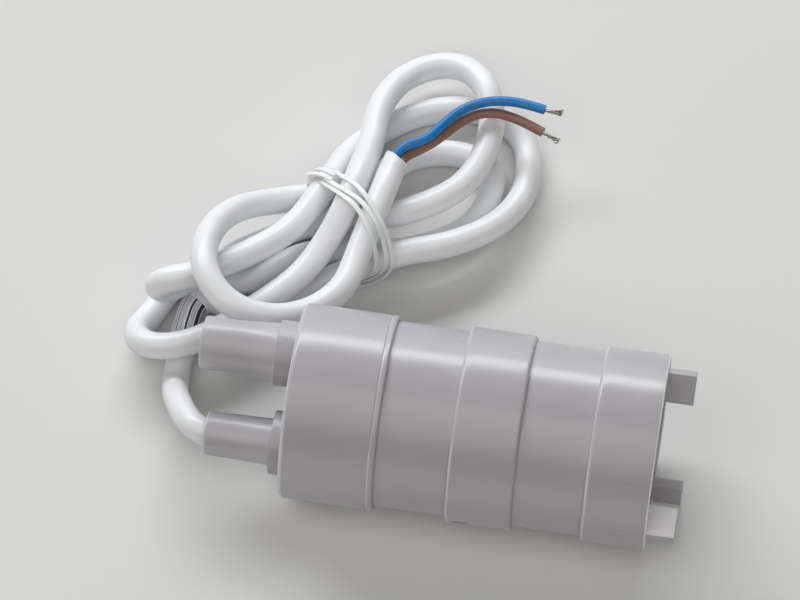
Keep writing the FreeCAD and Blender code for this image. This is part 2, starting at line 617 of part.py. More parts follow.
def least_gap(edges, radius, skip):
    """Smallest gap of a tube to itself between places further apart along it than skip."""
    spots = []
    along = 0.0
    for edge in edges:
        points = edge.discretize(max(2, int(edge.Length / 0.9) + 1))
        for k, point in enumerate(points[:-1]):
            spots.append((along + edge.Length * k / (len(points) - 1), point))
        along += edge.Length
    best = 1e9
    place = None
    for i, (at_a, a) in enumerate(spots):
        for at_b, b in spots[i + 1:]:
            if at_b - at_a > skip and abs(a.x - b.x) < best and a.distanceToPoint(b) < best:
                best = a.distanceToPoint(b)
                place = a
    return best - 2 * radius, place


def lobe(middle, half, lean, sweep, steps, heights):
    """Route points round an oval loop: middle, half length and half width, lean of its long
    side, start and end angle, number of points, heights spread evenly from start to end."""
    step = (sweep[1] - sweep[0]) / (steps - 1)
    grow = 1 / math.sqrt(math.cos(math.radians(step) / 2))
    tilt = math.radians(lean)
    points = []
    for k in range(steps):
        turn = math.radians(sweep[0] + k * step)
        u = half[0] * grow * math.cos(turn)
        v = half[1] * grow * math.sin(turn)
        place = k / (steps - 1) * (len(heights) - 1)
        low = min(int(place), len(heights) - 2)
        height = heights[low] + (heights[low + 1] - heights[low]) * (place - low)
        points.append((middle[0] + u * math.cos(tilt) - v * math.sin(tilt),
                       middle[1] + u * math.sin(tilt) + v * math.cos(tilt), height))
    return points


# Cable: a short free run from the cable spigot down to the floor, then the hank.
# Points are millimetres in the row frame, on the middle of the cable. They were drawn with
# the spigot's mouth at DRAWN_FROM, and move with the spigot when a size of the pump changes.
DRAWN_FROM = (-47.15, -7.88)
MOUTH = (worth("gland_at - overall / 2"), -worth("nozzle_y"), worth("ring_radius - nozzle_z"))


def laid(points):
    """Route points moved along the floor with the mouth of the cable spigot."""
    along = MOUTH[0] - DRAWN_FROM[0]
    aside = MOUTH[1] - DRAWN_FROM[1]
    return [(x + along, y + aside, z) for x, y, z in points]


LEAD = [(-47.15, -7.88, 15.45), (-49.9, -7.88, 15.45), (-52.5, -6.4, 14.1), (-54.1, -2.6, 10.6),
        (-55.6, 2.2, 6.2), (-56.8, 7, 3.2), (-57.2, 11.5, 2.8)]
HANK = [(-57.2, 11.5, 2.8), (-57.2, 15.5, 2.8), (-57.2, 19.5, 3.02), (-56.8, 23.6, 3.02),
        (-55.9, 26.9, 3.02), (-53.8, 29.4, 3.02), (-50.8, 29.8, 2.8), (-47.2, 28.4, 2.8), (-43.4, 28.3, 2.8),
        (-39.8, 30.4, 2.8), (-35.1, 34.9, 2.8), (-28.9, 39.2, 2.8), (-22.9, 42.4, 3.9),
        (-17.4, 46.2, 4.1), (-12.5, 48.6, 3.5), (-7.6, 51.1, 2.8)]
HANK += lobe((-11.1, 68.2), (20.9, 16.1), 36, (-92, 111), 9, (2.8, 2.8))
HANK += [(-28.4, 72, 4), (-30.6, 66, 7.8), (-31.8, 60, 10.4), (-34.3, 54.3, 10.8),
         (-36.6, 48.4, 10.8), (-40.3, 42.5, 11.8), (-45, 37.2, 13.5), (-50.2, 32.8, 14.4),
         (-55.2, 29.4, 14.6), (-58.4, 27.5, 15.1), (-61.1, 26.3, 15.4), (-63.2, 25.9, 13.4),
         (-63.2, 26.7, 10.7), (-61.1, 28.2, 8.9), (-57.6, 30.9, 8.9), (-53.4, 34.3, 9),
         (-49.3, 38.7, 8.6), (-45.6, 43.5, 5.2), (-41.6, 47.8, 2.8), (-37, 51, 2.8),
         (-32.2, 52, 4), (-27.8, 52.5, 9), (-22.5, 52.4, 10), (-17.2, 52.6, 10)]
HANK += lobe((-13.4, 75.5), (18.4, 12.1), 86, (-156, 113), 11, (9.4, 9.2, 9.1, 9.2, 6, 6, 9.4, 11.4))
HANK += [(-26, 60.7, 14.4), (-26.9, 54.1, 15.8), (-28.2, 48.4, 14.6), (-30.6, 42.9, 11.6),
         (-34.1, 36.4, 9.4), (-38.6, 30.8, 9), (-43.4, 25.8, 9), (-48.5, 20.8, 9),
         (-53.6, 16.6, 9), (-59, 14.2, 9), (-63.2, 14, 8.8), (-66.2, 16.2, 7.2),
         (-66.6, 20, 4.6), (-65, 24, 2.8), (-63.2, 28.8, 2.8), (-61.2, 33.2, 2.8),
         (-57.2, 36.4, 2.8), (-52.4, 36.6, 2.8), (-48.1, 35, 2.8), (-44.2, 37, 2.8),
         (-40.2, 40.6, 2.8), (-35.6, 44.2, 2.8), (-29.8, 45.9, 2.9), (-24.3, 48.7, 4.1),
         (-20.3, 52.2, 4), (-15.6, 54.9, 2.9)]
HANK += lobe((-10.3, 67.2), (10.9, 7.6), 19, (-85, 126), 8, (2.8, 2.8))
HANK += [(-20.4, 66.4, 2.8), (-23.5, 62.3, 3), (-28.5, 60.3, 4.1), (-34, 58.3, 4.1),
         (-39, 56, 5.7)]
HANK += lobe((-38.5, 37.1), (19.4, 14.8), 60, (58, 274), 10, (8.5, 15.5, 20.5, 22.4, 21.4, 19, 15.8, 14.6))
HANK += [(-23.7, 37.9, 14), (-22.5, 44, 15), (-21.3, 49.5, 16.2), (-20.5, 55.1, 16.2),
         (-19.95, 59.7, 15.2), (-19.45, 64.2, 14.5)]
lead_route = [(x, y, MOUTH[2]) for x, y, _ in laid(LEAD[:2])] + laid(LEAD[2:])
free_tube("lead_free", lead_route, worth("cable_radius"))
HANK = laid(HANK)
hank_edges, tight = wound_edges(HANK)
hank, hank_spine = swept("lead_hank", hank_edges, vec(HANK[1]) - vec(HANK[0]), worth("cable_radius"))
clear, where = least_gap(hank_edges, worth("cable_radius"), 17)
print("lead_hank: tightest bend %.1f mm, least gap to itself %.2f mm near %s" % (
    tight, clear, [round(c) for c in where]))

# The two cores beyond the stripped sheath and their bare ends.
BLUE = [(-20.4, 64.3, 14.7), (-19.6, 66.4, 15.3), (-17, 67.9, 15.6), (-14.6, 69.1, 15.6),
        (-13, 71.4, 15.6), (-10.6, 75, 15.6), (-7.3, 78.3, 15.6), (-3.4, 80.3, 15.6),
        (1, 81.1, 15.6), (5.6, 81, 15.6), (10, 80, 15.6)]
BROWN = [(-18.3, 64.1, 14.3), (-17.4, 65.7, 13.8), (-15, 67.1, 13.6), (-12.2, 69.9, 13.5),
         (-9.6, 73.4, 13.5), (-6.9, 76.6, 13.5), (-3.8, 78.4, 13.4), (-0.4, 78.9, 13.4),
         (3.4, 78.1, 13.3), (7, 76.9, 13.2), (10.2, 75.8, 13.2)]
BLUE_BARE = [(10, 80, 15.6), (12, 79.6, 15.6), (13.9, 79.9, 15.5)]
BROWN_BARE = [(10.2, 75.8, 13.2), (12, 75.2, 13.2), (13.9, 74.1, 13.1)]
free_tube("core_blue", laid(BLUE), worth("core_radius"))
free_tube("core_brown", laid(BROWN), worth("core_radius"))
free_tube("strands_blue", laid(BLUE_BARE), worth("strand_radius"))
free_tube("strands_brown", laid(BROWN_BARE), worth("strand_radius"))

# Inner leads from the cable entry to the terminal tabs, mid lengths in the row frame.
entry_x = worth("entry_end - overall / 2")
entry_y = -worth("nozzle_y")
entry_z = worth("ring_radius - nozzle_z")
tab_x = worth("bell_at - tab_reach - overall / 2")
tab_y = worth("tab_offset + leaf_thick * 0.75")
axis_z = worth("ring_radius")
core_r = worth("core_radius")
for name, side in (("inner_lead_blue", 1), ("inner_lead_brown", -1)):
    begin = (entry_x, entry_y + side * (core_r + worth("fit_gap")), entry_z)
    free_tube(name, [begin, (tab_x, side * tab_y, axis_z)], core_r)

# Tie: three wraps round the waist of the hank. Each spot is across and up, in mm.
TIE_MIDDLE = (-27.2, 51.7)
TIE_ALONG = (0.66, 0.75)
TIE_SPOTS = [(-6, 0.5), (3, 0.5), (11, 0.6), (14.3, 2.2), (14.3, 9), (13, 15.5), (9.8, 19.2),
             (3.5, 19.7), (-2.5, 19.5), (-7.5, 17), (-13.2, 12), (-14.4, 5), (-12, 0.7)]
TIE_WRAPS = 3
TIE_PITCH = 1.5
tie_route = []
for k in range(TIE_WRAPS * len(TIE_SPOTS) + 1):
    across, up = TIE_SPOTS[k % len(TIE_SPOTS)]
    along = (k / len(TIE_SPOTS) - TIE_WRAPS / 2) * TIE_PITCH
    tie_route.append((TIE_MIDDLE[0] + along * TIE_ALONG[0] + across * TIE_ALONG[1],
                      TIE_MIDDLE[1] + along * TIE_ALONG[1] - across * TIE_ALONG[0], up))
tie_route = laid(tie_route)
tie_edges, _ = wound_edges(tie_route)
swept("tie_band", tie_edges, vec(tie_route[1]) - vec(tie_route[0]), worth("tie_radius"))

# Paper label: a thin sleeve round the cable, bent with it.
label_edges, _ = wound_edges([(vec(HANK[2]) + vec(HANK[3])) * 0.5, HANK[3], HANK[4],
                              (vec(HANK[4]) + vec(HANK[5])) * 0.5])
label_ahead = vec(HANK[3]) - vec(HANK[2])
label_inside, _ = swept("label_inside", label_edges, label_ahead, worth("cable_radius") + 0.02)
label_outside, _ = swept("label_outside", label_edges, label_ahead,
                         worth("cable_radius") + 0.02 + worth("label_thick"))
label = doc.addObject("Part::Cut", "Sleeve_lead_label")
label.Label = "lead_label"
label.Base = label_outside
label.Tool = label_inside

doc.recompute()
bad = [thing.Label for thing in doc.Objects
       if any(word in str(thing.State) for word in ("Invalid", "Error"))]
if bad:
    raise RuntimeError("objects in error: %s" % bad)

NODES = (
    "top_cap upper_tube mid_collar lower_tube suction_cover motor_capsule capsule_lid lid_seal "
    "cable_gland_seal cable_entry guide_vane_ring motor_can motor_end_bell front_bush rear_bush "
    "shaft_seal seal_retainer magnet_upper magnet_lower motor_screw_a motor_screw_b shaft "
    "armature_core windings commutator thrust_washer_rear thrust_washer_front impeller impeller_nut "
    "brush_left brush_right spring_leaf_left spring_leaf_right terminal_left terminal_right "
    "capacitor inner_lead_blue inner_lead_brown lead_free lead_hank core_blue core_brown "
    "strands_blue strands_brown tie_band lead_label").split()
os.makedirs("parts", exist_ok=True)
for name in NODES:
    found = doc.getObjectsByLabel(name)
    if len(found) != 1:
        raise RuntimeError("%s: %d objects" % (name, len(found)))
    shape = found[0].Shape
    if shape.isNull() or not shape.isValid() or not shape.Solids:
        raise RuntimeError("%s has no valid solid" % name)
    shape.exportStep("parts/%s.step" % name)
print("%d nodes written" % len(NODES))
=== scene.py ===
import math

import bmesh
import bpy
from mathutils import Matrix, Vector


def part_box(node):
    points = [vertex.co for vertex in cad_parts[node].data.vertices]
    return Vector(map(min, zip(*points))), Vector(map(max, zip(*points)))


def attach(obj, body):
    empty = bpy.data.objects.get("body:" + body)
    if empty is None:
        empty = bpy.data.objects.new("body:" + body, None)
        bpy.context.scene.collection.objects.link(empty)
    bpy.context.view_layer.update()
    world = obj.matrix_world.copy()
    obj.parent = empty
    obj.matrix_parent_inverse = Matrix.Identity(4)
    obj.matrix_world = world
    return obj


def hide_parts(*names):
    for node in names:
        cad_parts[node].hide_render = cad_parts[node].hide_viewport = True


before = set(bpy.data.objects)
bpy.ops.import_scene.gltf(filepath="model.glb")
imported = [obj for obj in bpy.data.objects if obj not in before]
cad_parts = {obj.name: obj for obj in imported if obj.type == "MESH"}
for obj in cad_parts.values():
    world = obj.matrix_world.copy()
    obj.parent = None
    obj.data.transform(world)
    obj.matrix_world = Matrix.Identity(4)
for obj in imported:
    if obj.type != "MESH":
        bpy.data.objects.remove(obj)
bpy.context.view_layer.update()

bl_info = {
    "name": "Submersible pump",
    "version": (1, 0, 0),
    "blender": (4, 5, 0),
    "location": "View3D > Sidebar > Pump",
    "description": "Builds the look of a small in-line water pump with its tied cable",
    "category": "Object",
}

MM = 0.001

# Places along the pump come from the frame, so the look follows the solids.
CAP_LOW, CAP_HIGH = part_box("top_cap")
COLLAR_LOW, COLLAR_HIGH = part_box("mid_collar")
COVER_LOW, COVER_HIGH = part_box("suction_cover")
UPPER_LOW, UPPER_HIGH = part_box("upper_tube")
AXIS_Z = (CAP_LOW.z + CAP_HIGH.z) / 2
RING_R = (COLLAR_HIGH.z - COLLAR_LOW.z) / 2
TUBE_R = (UPPER_HIGH.z - UPPER_LOW.z) / 2
SPIGOT_TIP_X = CAP_LOW.x
CAP_X = SPIGOT_TIP_X + 19.9 * MM
CAP_RIM_X = CAP_HIGH.x
COVER_RIM_X = COVER_LOW.x + 13.2 * MM
RECESS_X = COVER_RIM_X - 4.6 * MM
CABLE_TIP_X = SPIGOT_TIP_X + 3.2 * MM
NOZZLE_TURN = math.radians(30)
NOZZLE_Y = 9.1 * math.cos(NOZZLE_TURN) * MM
NOZZLE_Z = 9.1 * math.sin(NOZZLE_TURN) * MM
OUTLET = (NOZZLE_Y, AXIS_Z + NOZZLE_Z)
CABLE_EXIT = (-NOZZLE_Y, AXIS_Z - NOZZLE_Z)
BORE_R = TUBE_R + 0.05 * MM
WALL_R = TUBE_R - 1.1 * MM
LIP_R = RING_R - 1.8 * MM
EASE = 0.1 * MM
NEAR_AXIS = 0.01
OUTLET_BORE_R = 3.9 * MM
CABLE_BORE_R = 3.5 * MM
SUCTION_HOLE_R = 6.5 * MM
PLATE_THICK = 1.6 * MM
FOOT_CLOCKS = (58, 182, 270)
FOOT_MIDDLE_R = 15.75 * MM
FOOT_WIDE, FOOT_THICK = 6.9 * MM, 2.2 * MM
DRAIN_CLOCK = 202
DRAIN_R = 1.85 * MM
DRAIN_INSET = 3.4 * MM

# Camera: azimuth, elevation and roll in degrees, its place and its lens in millimetres.
CAMERA_TURNS = (7.98, 60.0, 1.19)
CAMERA_PLACE = (0.0624, -0.5084, 0.9559)
CAMERA_LENS = 236.25


# Sizes and colours
class PumpSizes(bpy.types.PropertyGroup):
    """Sizes and colours of the pump's moulded parts."""
    plastic: bpy.props.FloatVectorProperty(
        name="Casing colour", description="Colour of the grey moulded casing",
        subtype="COLOR", size=3, min=0, max=1, default=(0.45, 0.435, 0.46))
    plastic_rough: bpy.props.FloatProperty(
        name="Casing roughness", description="How dull the casing is",
        subtype="FACTOR", min=0, max=1, default=0.29)
    rim_round: bpy.props.FloatProperty(
        name="Rim rounding", description="Rounding of the rims of cap, collar and cover",
        unit="LENGTH", default=0.78 * MM)
    ring_steps: bpy.props.IntProperty(
        name="Steps round", description="Number of faces round a turned piece",
        min=24, max=256, default=160)


class CableSizes(bpy.types.PropertyGroup):
    """Sizes and colours of the cable, its cores and its tie."""
    diameter: bpy.props.FloatProperty(
        name="Cable diameter", description="Outside of the white sheath",
        unit="LENGTH", default=5.6 * MM)
    length: bpy.props.FloatProperty(
        name="Cable length", description="From the cable spigot to the stripped end",
        unit="LENGTH", default=0.7198)
    core: bpy.props.FloatProperty(
        name="Core diameter", description="Outside of one coloured core",
        unit="LENGTH", default=2.1 * MM)
    sheath: bpy.props.FloatVectorProperty(
        name="Sheath colour", description="Colour of the white sheath",
        subtype="COLOR", size=3, min=0, max=1, default=(0.84, 0.85, 0.87))
    blue: bpy.props.FloatVectorProperty(
        name="Blue core", description="Colour of the blue core",
        subtype="COLOR", size=3, min=0, max=1, default=(0.008, 0.185, 0.5))
    brown: bpy.props.FloatVectorProperty(
        name="Brown core", description="Colour of the brown core",
        subtype="COLOR", size=3, min=0, max=1, default=(0.27, 0.135, 0.105))


class StageSizes(bpy.types.PropertyGroup):
    """Floor and lights."""
    floor: bpy.props.FloatVectorProperty(
        name="Floor colour", description="Colour of the pale floor",
        subtype="COLOR", size=3, min=0, max=1, default=(0.76, 0.76, 0.75))
    strip_power: bpy.props.FloatProperty(
        name="Back strip", description="Power of the long light behind the pump", default=16.0)
    low_power: bpy.props.FloatProperty(
        name="Low back panel", description="Power of the upright panel far behind", default=10.3)
    top_power: bpy.props.FloatProperty(
        name="Front panel", description="Power of the wide panel above the camera", default=22.5)
    air: bpy.props.FloatProperty(
        name="Room light", description="Strength of the even light from all round", default=0.06)


# Shader helper
class Wire:
    """A socket that adds Math nodes when it is used in an expression."""

    def __init__(self, paint, socket):
        self.paint = paint
        self.socket = socket

    def maths(self, operation, *values):
        return self.paint.node("ShaderNodeMath", {"operation": operation}, [self, *values])

    def __add__(self, other):
        return self.maths("ADD", other)

    def __sub__(self, other):
        return self.maths("SUBTRACT", other)

    def __rsub__(self, other):
        return self.paint.node("ShaderNodeMath", {"operation": "SUBTRACT"}, [other, self])

    def __mul__(self, other):
        return self.maths("MULTIPLY", other)

    def __truediv__(self, other):
        return self.maths("DIVIDE", other)

    def __gt__(self, other):
        return self.maths("GREATER_THAN", other)

    def __lt__(self, other):
        return self.maths("LESS_THAN", other)

    __radd__ = __add__
    __rmul__ = __mul__


class Paint:
    """A material under construction."""

    def __init__(self, name, **constants):
        self.material = bpy.data.materials.new(name)
        self.material.use_nodes = True
        self.tree = self.material.node_tree
        self.shader = self.tree.nodes["Principled BSDF"]
        for key, value in constants.items():
            self.shader.inputs[key.replace("_", " ")].default_value = value

    def node(self, kind, settings, values=(), out=0):
        made = self.tree.nodes.new(kind)
        for key, value in settings.items():
            if key == "stops":
                ramp = made.color_ramp
                while len(ramp.elements) > 1:
                    ramp.elements.remove(ramp.elements[-1])
                for k, (place, colour) in enumerate(value):
                    stop = ramp.elements[0] if k == 0 else ramp.elements.new(place)
                    stop.position = place
                    stop.color = (*colour, 1) if len(colour) == 3 else colour
            else:
                setattr(made, key, value)
        pairs = values.items() if isinstance(values, dict) else enumerate(values)
        for key, value in pairs:
            if isinstance(value, Wire):
                self.tree.links.new(value.socket, made.inputs[key])
            elif value is not None:
                made.inputs[key].default_value = value
        return Wire(self, made.outputs[out])

    def place(self, scale=(1, 1, 1)):
        """The spot on the piece, stretched."""
        where = self.node("ShaderNodeTexCoord", {}, out="Object")
        return self.node("ShaderNodeVectorMath", {"operation": "MULTIPLY"}, [where, scale])

    def split(self, vector):
        """X, Y and Z of a vector."""
        parts = self.node("ShaderNodeSeparateXYZ", {}, [vector]).socket.node
        return [Wire(self, part) for part in parts.outputs]

    def span(self, value, low, high, start=0.0, stop=1.0):
        """How far a value is between two bounds, as a number from start to stop."""
        return self.node("ShaderNodeMapRange", {"clamp": True}, {
            "Value": value, "From Min": low, "From Max": high, "To Min": start, "To Max": stop})

    def noise(self, vector, scale, detail=2.0, rough=0.5, warp=0.0):
        return self.node("ShaderNodeTexNoise", {}, {
            "Vector": vector, "Scale": scale, "Detail": detail, "Roughness": rough,
            "Distortion": warp})

    def mix(self, factor, low, high):
        made = self.tree.nodes.new("ShaderNodeMix")
        made.data_type = "RGBA"
        for socket, value in (("Factor_Float", factor), ("A_Color", low), ("B_Color", high)):
            target = next(i for i in made.inputs if i.identifier == socket)
            if isinstance(value, Wire):
                self.tree.links.new(value.socket, target)
            else:
                target.default_value = value if socket == "Factor_Float" else (*value[:3], 1)
        return Wire(self, next(o for o in made.outputs if o.identifier == "Result_Color"))

    def feed(self, name, wire):
        self.tree.links.new(wire.socket, self.shader.inputs[name])

    def bump(self, height, strength, distance):
        self.feed("Normal", self.node("ShaderNodeBump", {}, {
            "Height": height, "Strength": strength, "Distance": distance}))


def shade(colour, amount):
    """The same colour, lighter or darker."""
    return tuple(max(0.0, min(1.0, c * amount)) for c in colour[:3])


# Modelling helpers
def clear_selection():
    """Leaves edit mode with nothing selected."""
    if bpy.context.object and bpy.context.object.mode != "OBJECT":
        bpy.ops.object.mode_set(mode="OBJECT")
    bpy.ops.object.select_all(action="DESELECT")


def only(obj):
    """Makes one object the active and only selected one."""
    clear_selection()
    obj.select_set(True)
    bpy.context.view_layer.objects.active = obj


def signed_volume(obj):
    """Below zero where the mesh being edited is inside out."""
    return bmesh.from_edit_mesh(obj.data).calc_volume(signed=True)


def settle(obj, name, angle=35):
    """Applies the place, cleans the mesh and shades it."""
    obj.name = name
    only(obj)
    bpy.ops.object.transform_apply(location=True, rotation=True, scale=True)
    if obj.type == "MESH":
        bpy.ops.object.mode_set(mode="EDIT")
        bpy.ops.mesh.select_all(action="SELECT")
        bpy.ops.mesh.remove_doubles(threshold=1e-6)
        bpy.ops.mesh.normals_make_consistent(inside=False)
        if signed_volume(obj) < 0:
            bpy.ops.mesh.flip_normals()
        bpy.ops.object.mode_set(mode="OBJECT")
        bpy.ops.object.shade_smooth_by_angle(angle=math.radians(angle))
    return obj


def lathe(name, profile, centre=(0.0, AXIS_Z), steps=None):
    """A turned shell about the X direction: a circle extruded from ring to ring.
    profile lists (x, radius) and returns to its first ring."""
    steps = steps or bpy.context.scene.pump_sizes.ring_steps
    clear_selection()
    x0, r0 = profile[0]
    bpy.ops.mesh.primitive_circle_add(
        vertices=steps, radius=r0, fill_type="NOTHING", location=(x0, *centre),
        rotation=(0, math.pi / 2, 0))
    obj = bpy.context.object
    bpy.ops.object.transform_apply(location=True, rotation=True, scale=True)
    bpy.ops.object.mode_set(mode="EDIT")
    bpy.ops.mesh.select_mode(type="EDGE")
    bpy.ops.mesh.select_all(action="SELECT")
    x, r = x0, r0
    for nx, nr in profile[1:] + profile[:1]:
        bpy.ops.mesh.extrude_edges_move(TRANSFORM_OT_translate={"value": (nx - x, 0, 0)})
        if abs(nr - r) > 1e-9:
            grow = nr / r
            bpy.ops.transform.resize(value=(1, grow, grow), center_override=(nx, *centre))
        x, r = nx, nr
    bpy.ops.object.mode_set(mode="OBJECT")
    return settle(obj, name)


def rounded(x, r, radius, dx, dr, count=6):
    """Points of a rounded corner at (x, r); dx and dr say which way the body lies."""
    points = []
    for k in range(count + 1):
        turn = math.pi / 2 * k / count
        points.append((x + dx * radius * (1 - math.sin(turn)),
                       r + dr * radius * (1 - math.cos(turn))))
    return points


def rim_rounding():
    """The rounding of a rim, as far as the wall over a tube has room for it."""
    return min(bpy.context.scene.pump_sizes.rim_round, RING_R - BORE_R - 0.15 * MM)


def rim_band(low, high):
    """Profile of a band with a rounded rim at its lower end."""
    return ([(low, BORE_R + EASE)] + rounded(low, RING_R, rim_rounding(), 1, -1)[::-1]
            + [(low + (high - low) * k / 6, RING_R) for k in range(1, 6)])


def block(name, size, place, turn, bevel):
    """A bevelled block made in edit mode."""
    clear_selection()
    bpy.ops.mesh.primitive_cube_add(size=1, location=(0, 0, 0))
    obj = bpy.context.object
    bpy.ops.object.mode_set(mode="EDIT")
    bpy.ops.transform.resize(value=size)
    bpy.ops.mesh.bevel(offset=bevel, segments=3, affect="EDGES")
    bpy.ops.object.mode_set(mode="OBJECT")
    obj.rotation_euler = turn
    obj.location = place
    return settle(obj, name)


def combine(base, other, operation):
    """Boolean of two pieces, applied; the second one goes."""
    only(base)
    step = base.modifiers.new("Join", "BOOLEAN")
    step.operation = operation
    step.solver = "EXACT"
    step.object = other
    bpy.ops.object.modifier_apply(modifier=step.name)
    bpy.data.objects.remove(other, do_unlink=True)
    return settle(base, base.name)


def thicken(obj, thickness, offset=-1):
    """Gives a sheet its thickness, to one side of it or to both."""
    only(obj)
    wall = obj.modifiers.new("Wall", "SOLIDIFY")
    wall.thickness = thickness
    wall.offset = offset
    bpy.ops.object.modifier_apply(modifier=wall.name)


def lines(name, routes, radius, kind="NURBS", unit=MM, resolution=10, bevel=6, caps=True):
    """Open lines through space with a round section, one for each route."""
    data = bpy.data.curves.new(name, "CURVE")
    data.dimensions = "3D"
    data.resolution_u = resolution
    data.bevel_depth = radius
    data.bevel_resolution = bevel
    data.use_fill_caps = caps
    for route in routes:
        spline = data.splines.new(kind)
        spline.points.add(len(route) - 1)
        for spot, point in zip(spline.points, route):
            spot.co = (point[0] * unit, point[1] * unit, point[2] * unit, 1)
        if kind == "NURBS":
            spline.order_u = 3
            spline.use_endpoint_u = True
    obj = bpy.data.objects.new(name, data)
    bpy.context.collection.objects.link(obj)
    return obj


def line_of(points, resolution=12):
    """Points along the smooth line of a route, in metres."""
    bare = lines("Line", [points], 0.0, resolution=resolution, caps=False)
    bpy.context.view_layer.update()
    mesh = bpy.data.meshes.new_from_object(
        bare.evaluated_get(bpy.context.evaluated_depsgraph_get()))
    line = [v.co.copy() for v in mesh.vertices]
    bpy.data.meshes.remove(mesh)
    bpy.data.objects.remove(bare, do_unlink=True)
    return line


def to_mesh(obj):
    """Turns lines into a mesh."""
    only(obj)
    bpy.ops.object.convert(target="MESH")
    return bpy.context.object


def dress(obj, material, *nodes):
    """Gives a piece of the casing its material and the nodes that it takes the place of."""
    obj.data.materials.clear()
    obj.data.materials.append(material)
    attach(obj, "casing")
    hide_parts(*nodes)


# Cable route
# Millimetres in the row frame, on the middle of the cable.
def lobe(middle, half, lean, sweep, steps, heights):
    """Route points round an oval loop."""
    step = (sweep[1] - sweep[0]) / (steps - 1)
    grow = 1 / math.sqrt(math.cos(math.radians(step) / 2))
    tilt = math.radians(lean)
    points = []
    for k in range(steps):
        turn = math.radians(sweep[0] + k * step)
        u = half[0] * grow * math.cos(turn)
        v = half[1] * grow * math.sin(turn)
        place = k / (steps - 1) * (len(heights) - 1)
        low = min(int(place), len(heights) - 2)
        height = heights[low] + (heights[low + 1] - heights[low]) * (place - low)
        points.append((middle[0] + u * math.cos(tilt) - v * math.sin(tilt),
                       middle[1] + u * math.sin(tilt) + v * math.cos(tilt), height))
    return points


CABLE = [(-46.1, -7.95, 15.4), (-48.9, -7.6, 15.45), (-51.8, -4.6, 14.3), (-54.1, 0, 10.6),
         (-55.9, 4.6, 6.2), (-56.8, 8.4, 3.4), (-57, 11.8, 2.8), (-57, 15.5, 2.8),
         (-57.2, 19.6, 3.02), (-57, 23.7, 3.02), (-56.6, 27, 3.02), (-55, 29.8, 3.02),
         (-51.8, 30.4, 2.8), (-48, 29.2, 2.8), (-43.6, 28.4, 2.8), (-39.8, 30.4, 2.8),
         (-35.1, 34.9, 2.8), (-28.9, 38.9, 3.6), (-23.2, 41.4, 6), (-17, 43.9, 8.2),
         (-12, 45.7, 8.6), (-7, 47.7, 8.2), (-2.6, 50.4, 7.6), (1.8, 54, 6.8), (5.5, 58.9, 5.6),
         (7.9, 64.9, 4.4), (8.4, 71.5, 3.4)]
CABLE += lobe((-11.2, 67.9), (20.8, 15.7), 36, (-7, 111), 6, (2.8, 2.8))
CABLE += [(-28.4, 72, 4), (-30.6, 66, 7.8), (-31.8, 60, 10.4), (-34.3, 54.3, 10.8),
          (-36.6, 48.4, 10.8), (-40.3, 42.5, 11.8), (-45, 37.2, 13.5), (-50.2, 32.8, 14.4),
          (-55.2, 29.4, 14.6), (-57.9, 27.8, 14.9), (-60.8, 26.5, 15.6), (-63.4, 26, 13.4),
          (-63.2, 26.9, 10), (-60.9, 28.4, 8.4), (-57.6, 30.9, 8.9), (-53.4, 34.3, 9),
          (-49.3, 38.7, 8.6), (-45.6, 43.5, 5.2), (-41.6, 47.8, 2.8), (-37, 51, 2.8),
          (-32.2, 52, 4), (-27.8, 52.5, 9), (-22.5, 52.4, 10), (-17.2, 52.6, 10)]
CABLE += lobe((-13.1, 75.4), (18.4, 12.3), 86, (-156, 113), 11,
              (9.4, 9.2, 9.1, 9.2, 6, 6, 9.4, 11.4))
CABLE += [(-26, 60.7, 14.4), (-26.9, 54.1, 15.8), (-28.2, 48.4, 14.6), (-30.6, 42.9, 11.6),
          (-34.1, 36.4, 9.4), (-38.6, 30.8, 9), (-43.4, 25.8, 9), (-48.5, 20.8, 9),
          (-53.6, 16.6, 9), (-59, 14.2, 9), (-63.2, 14, 8.8), (-66.2, 16.2, 7.2), (-66.6, 20, 4.6),
          (-65, 24, 2.8), (-63.2, 28.8, 2.8), (-61.2, 33.2, 2.8), (-57.2, 36.4, 2.8),
          (-52.4, 36.6, 2.8), (-48.1, 35, 2.8), (-44.2, 37, 2.8), (-40.2, 40.6, 2.8),
          (-35.6, 44.2, 2.8), (-29.8, 45.9, 2.8), (-24.3, 47.6, 2.8), (-18.5, 47.6, 2.8),
          (-13.8, 48.9, 2.8), (-9.8, 50.8, 2.8), (-6, 53, 2.8), (-2.4, 56.2, 2.8), (0.1, 60.5, 2.8),
          (1.2, 65, 2.8), (1.1, 69, 2.8), (-0.9, 72, 2.8), (-5.2, 73.9, 2.8), (-10.8, 73.9, 2.8),
          (-16, 72.3, 2.8), (-20.7, 68.6, 2.8), (-24.2, 64.2, 2.8), (-28.5, 60.3, 4.1),
          (-34, 58.3, 4.1), (-39, 56, 5.7)]
CABLE += lobe((-38.5, 37.1), (19.4, 14.8), 60, (58, 274), 10,
              (8.5, 15.5, 20.5, 22.4, 21.4, 19, 15.8, 14.6))
CABLE += [(-23.7, 37.9, 14), (-22.5, 44, 15), (-21.3, 49.5, 16.2), (-20.4, 55.1, 16.2),
          (-19.9, 58.6, 15.5), (-19.6, 60.2, 15.2)]

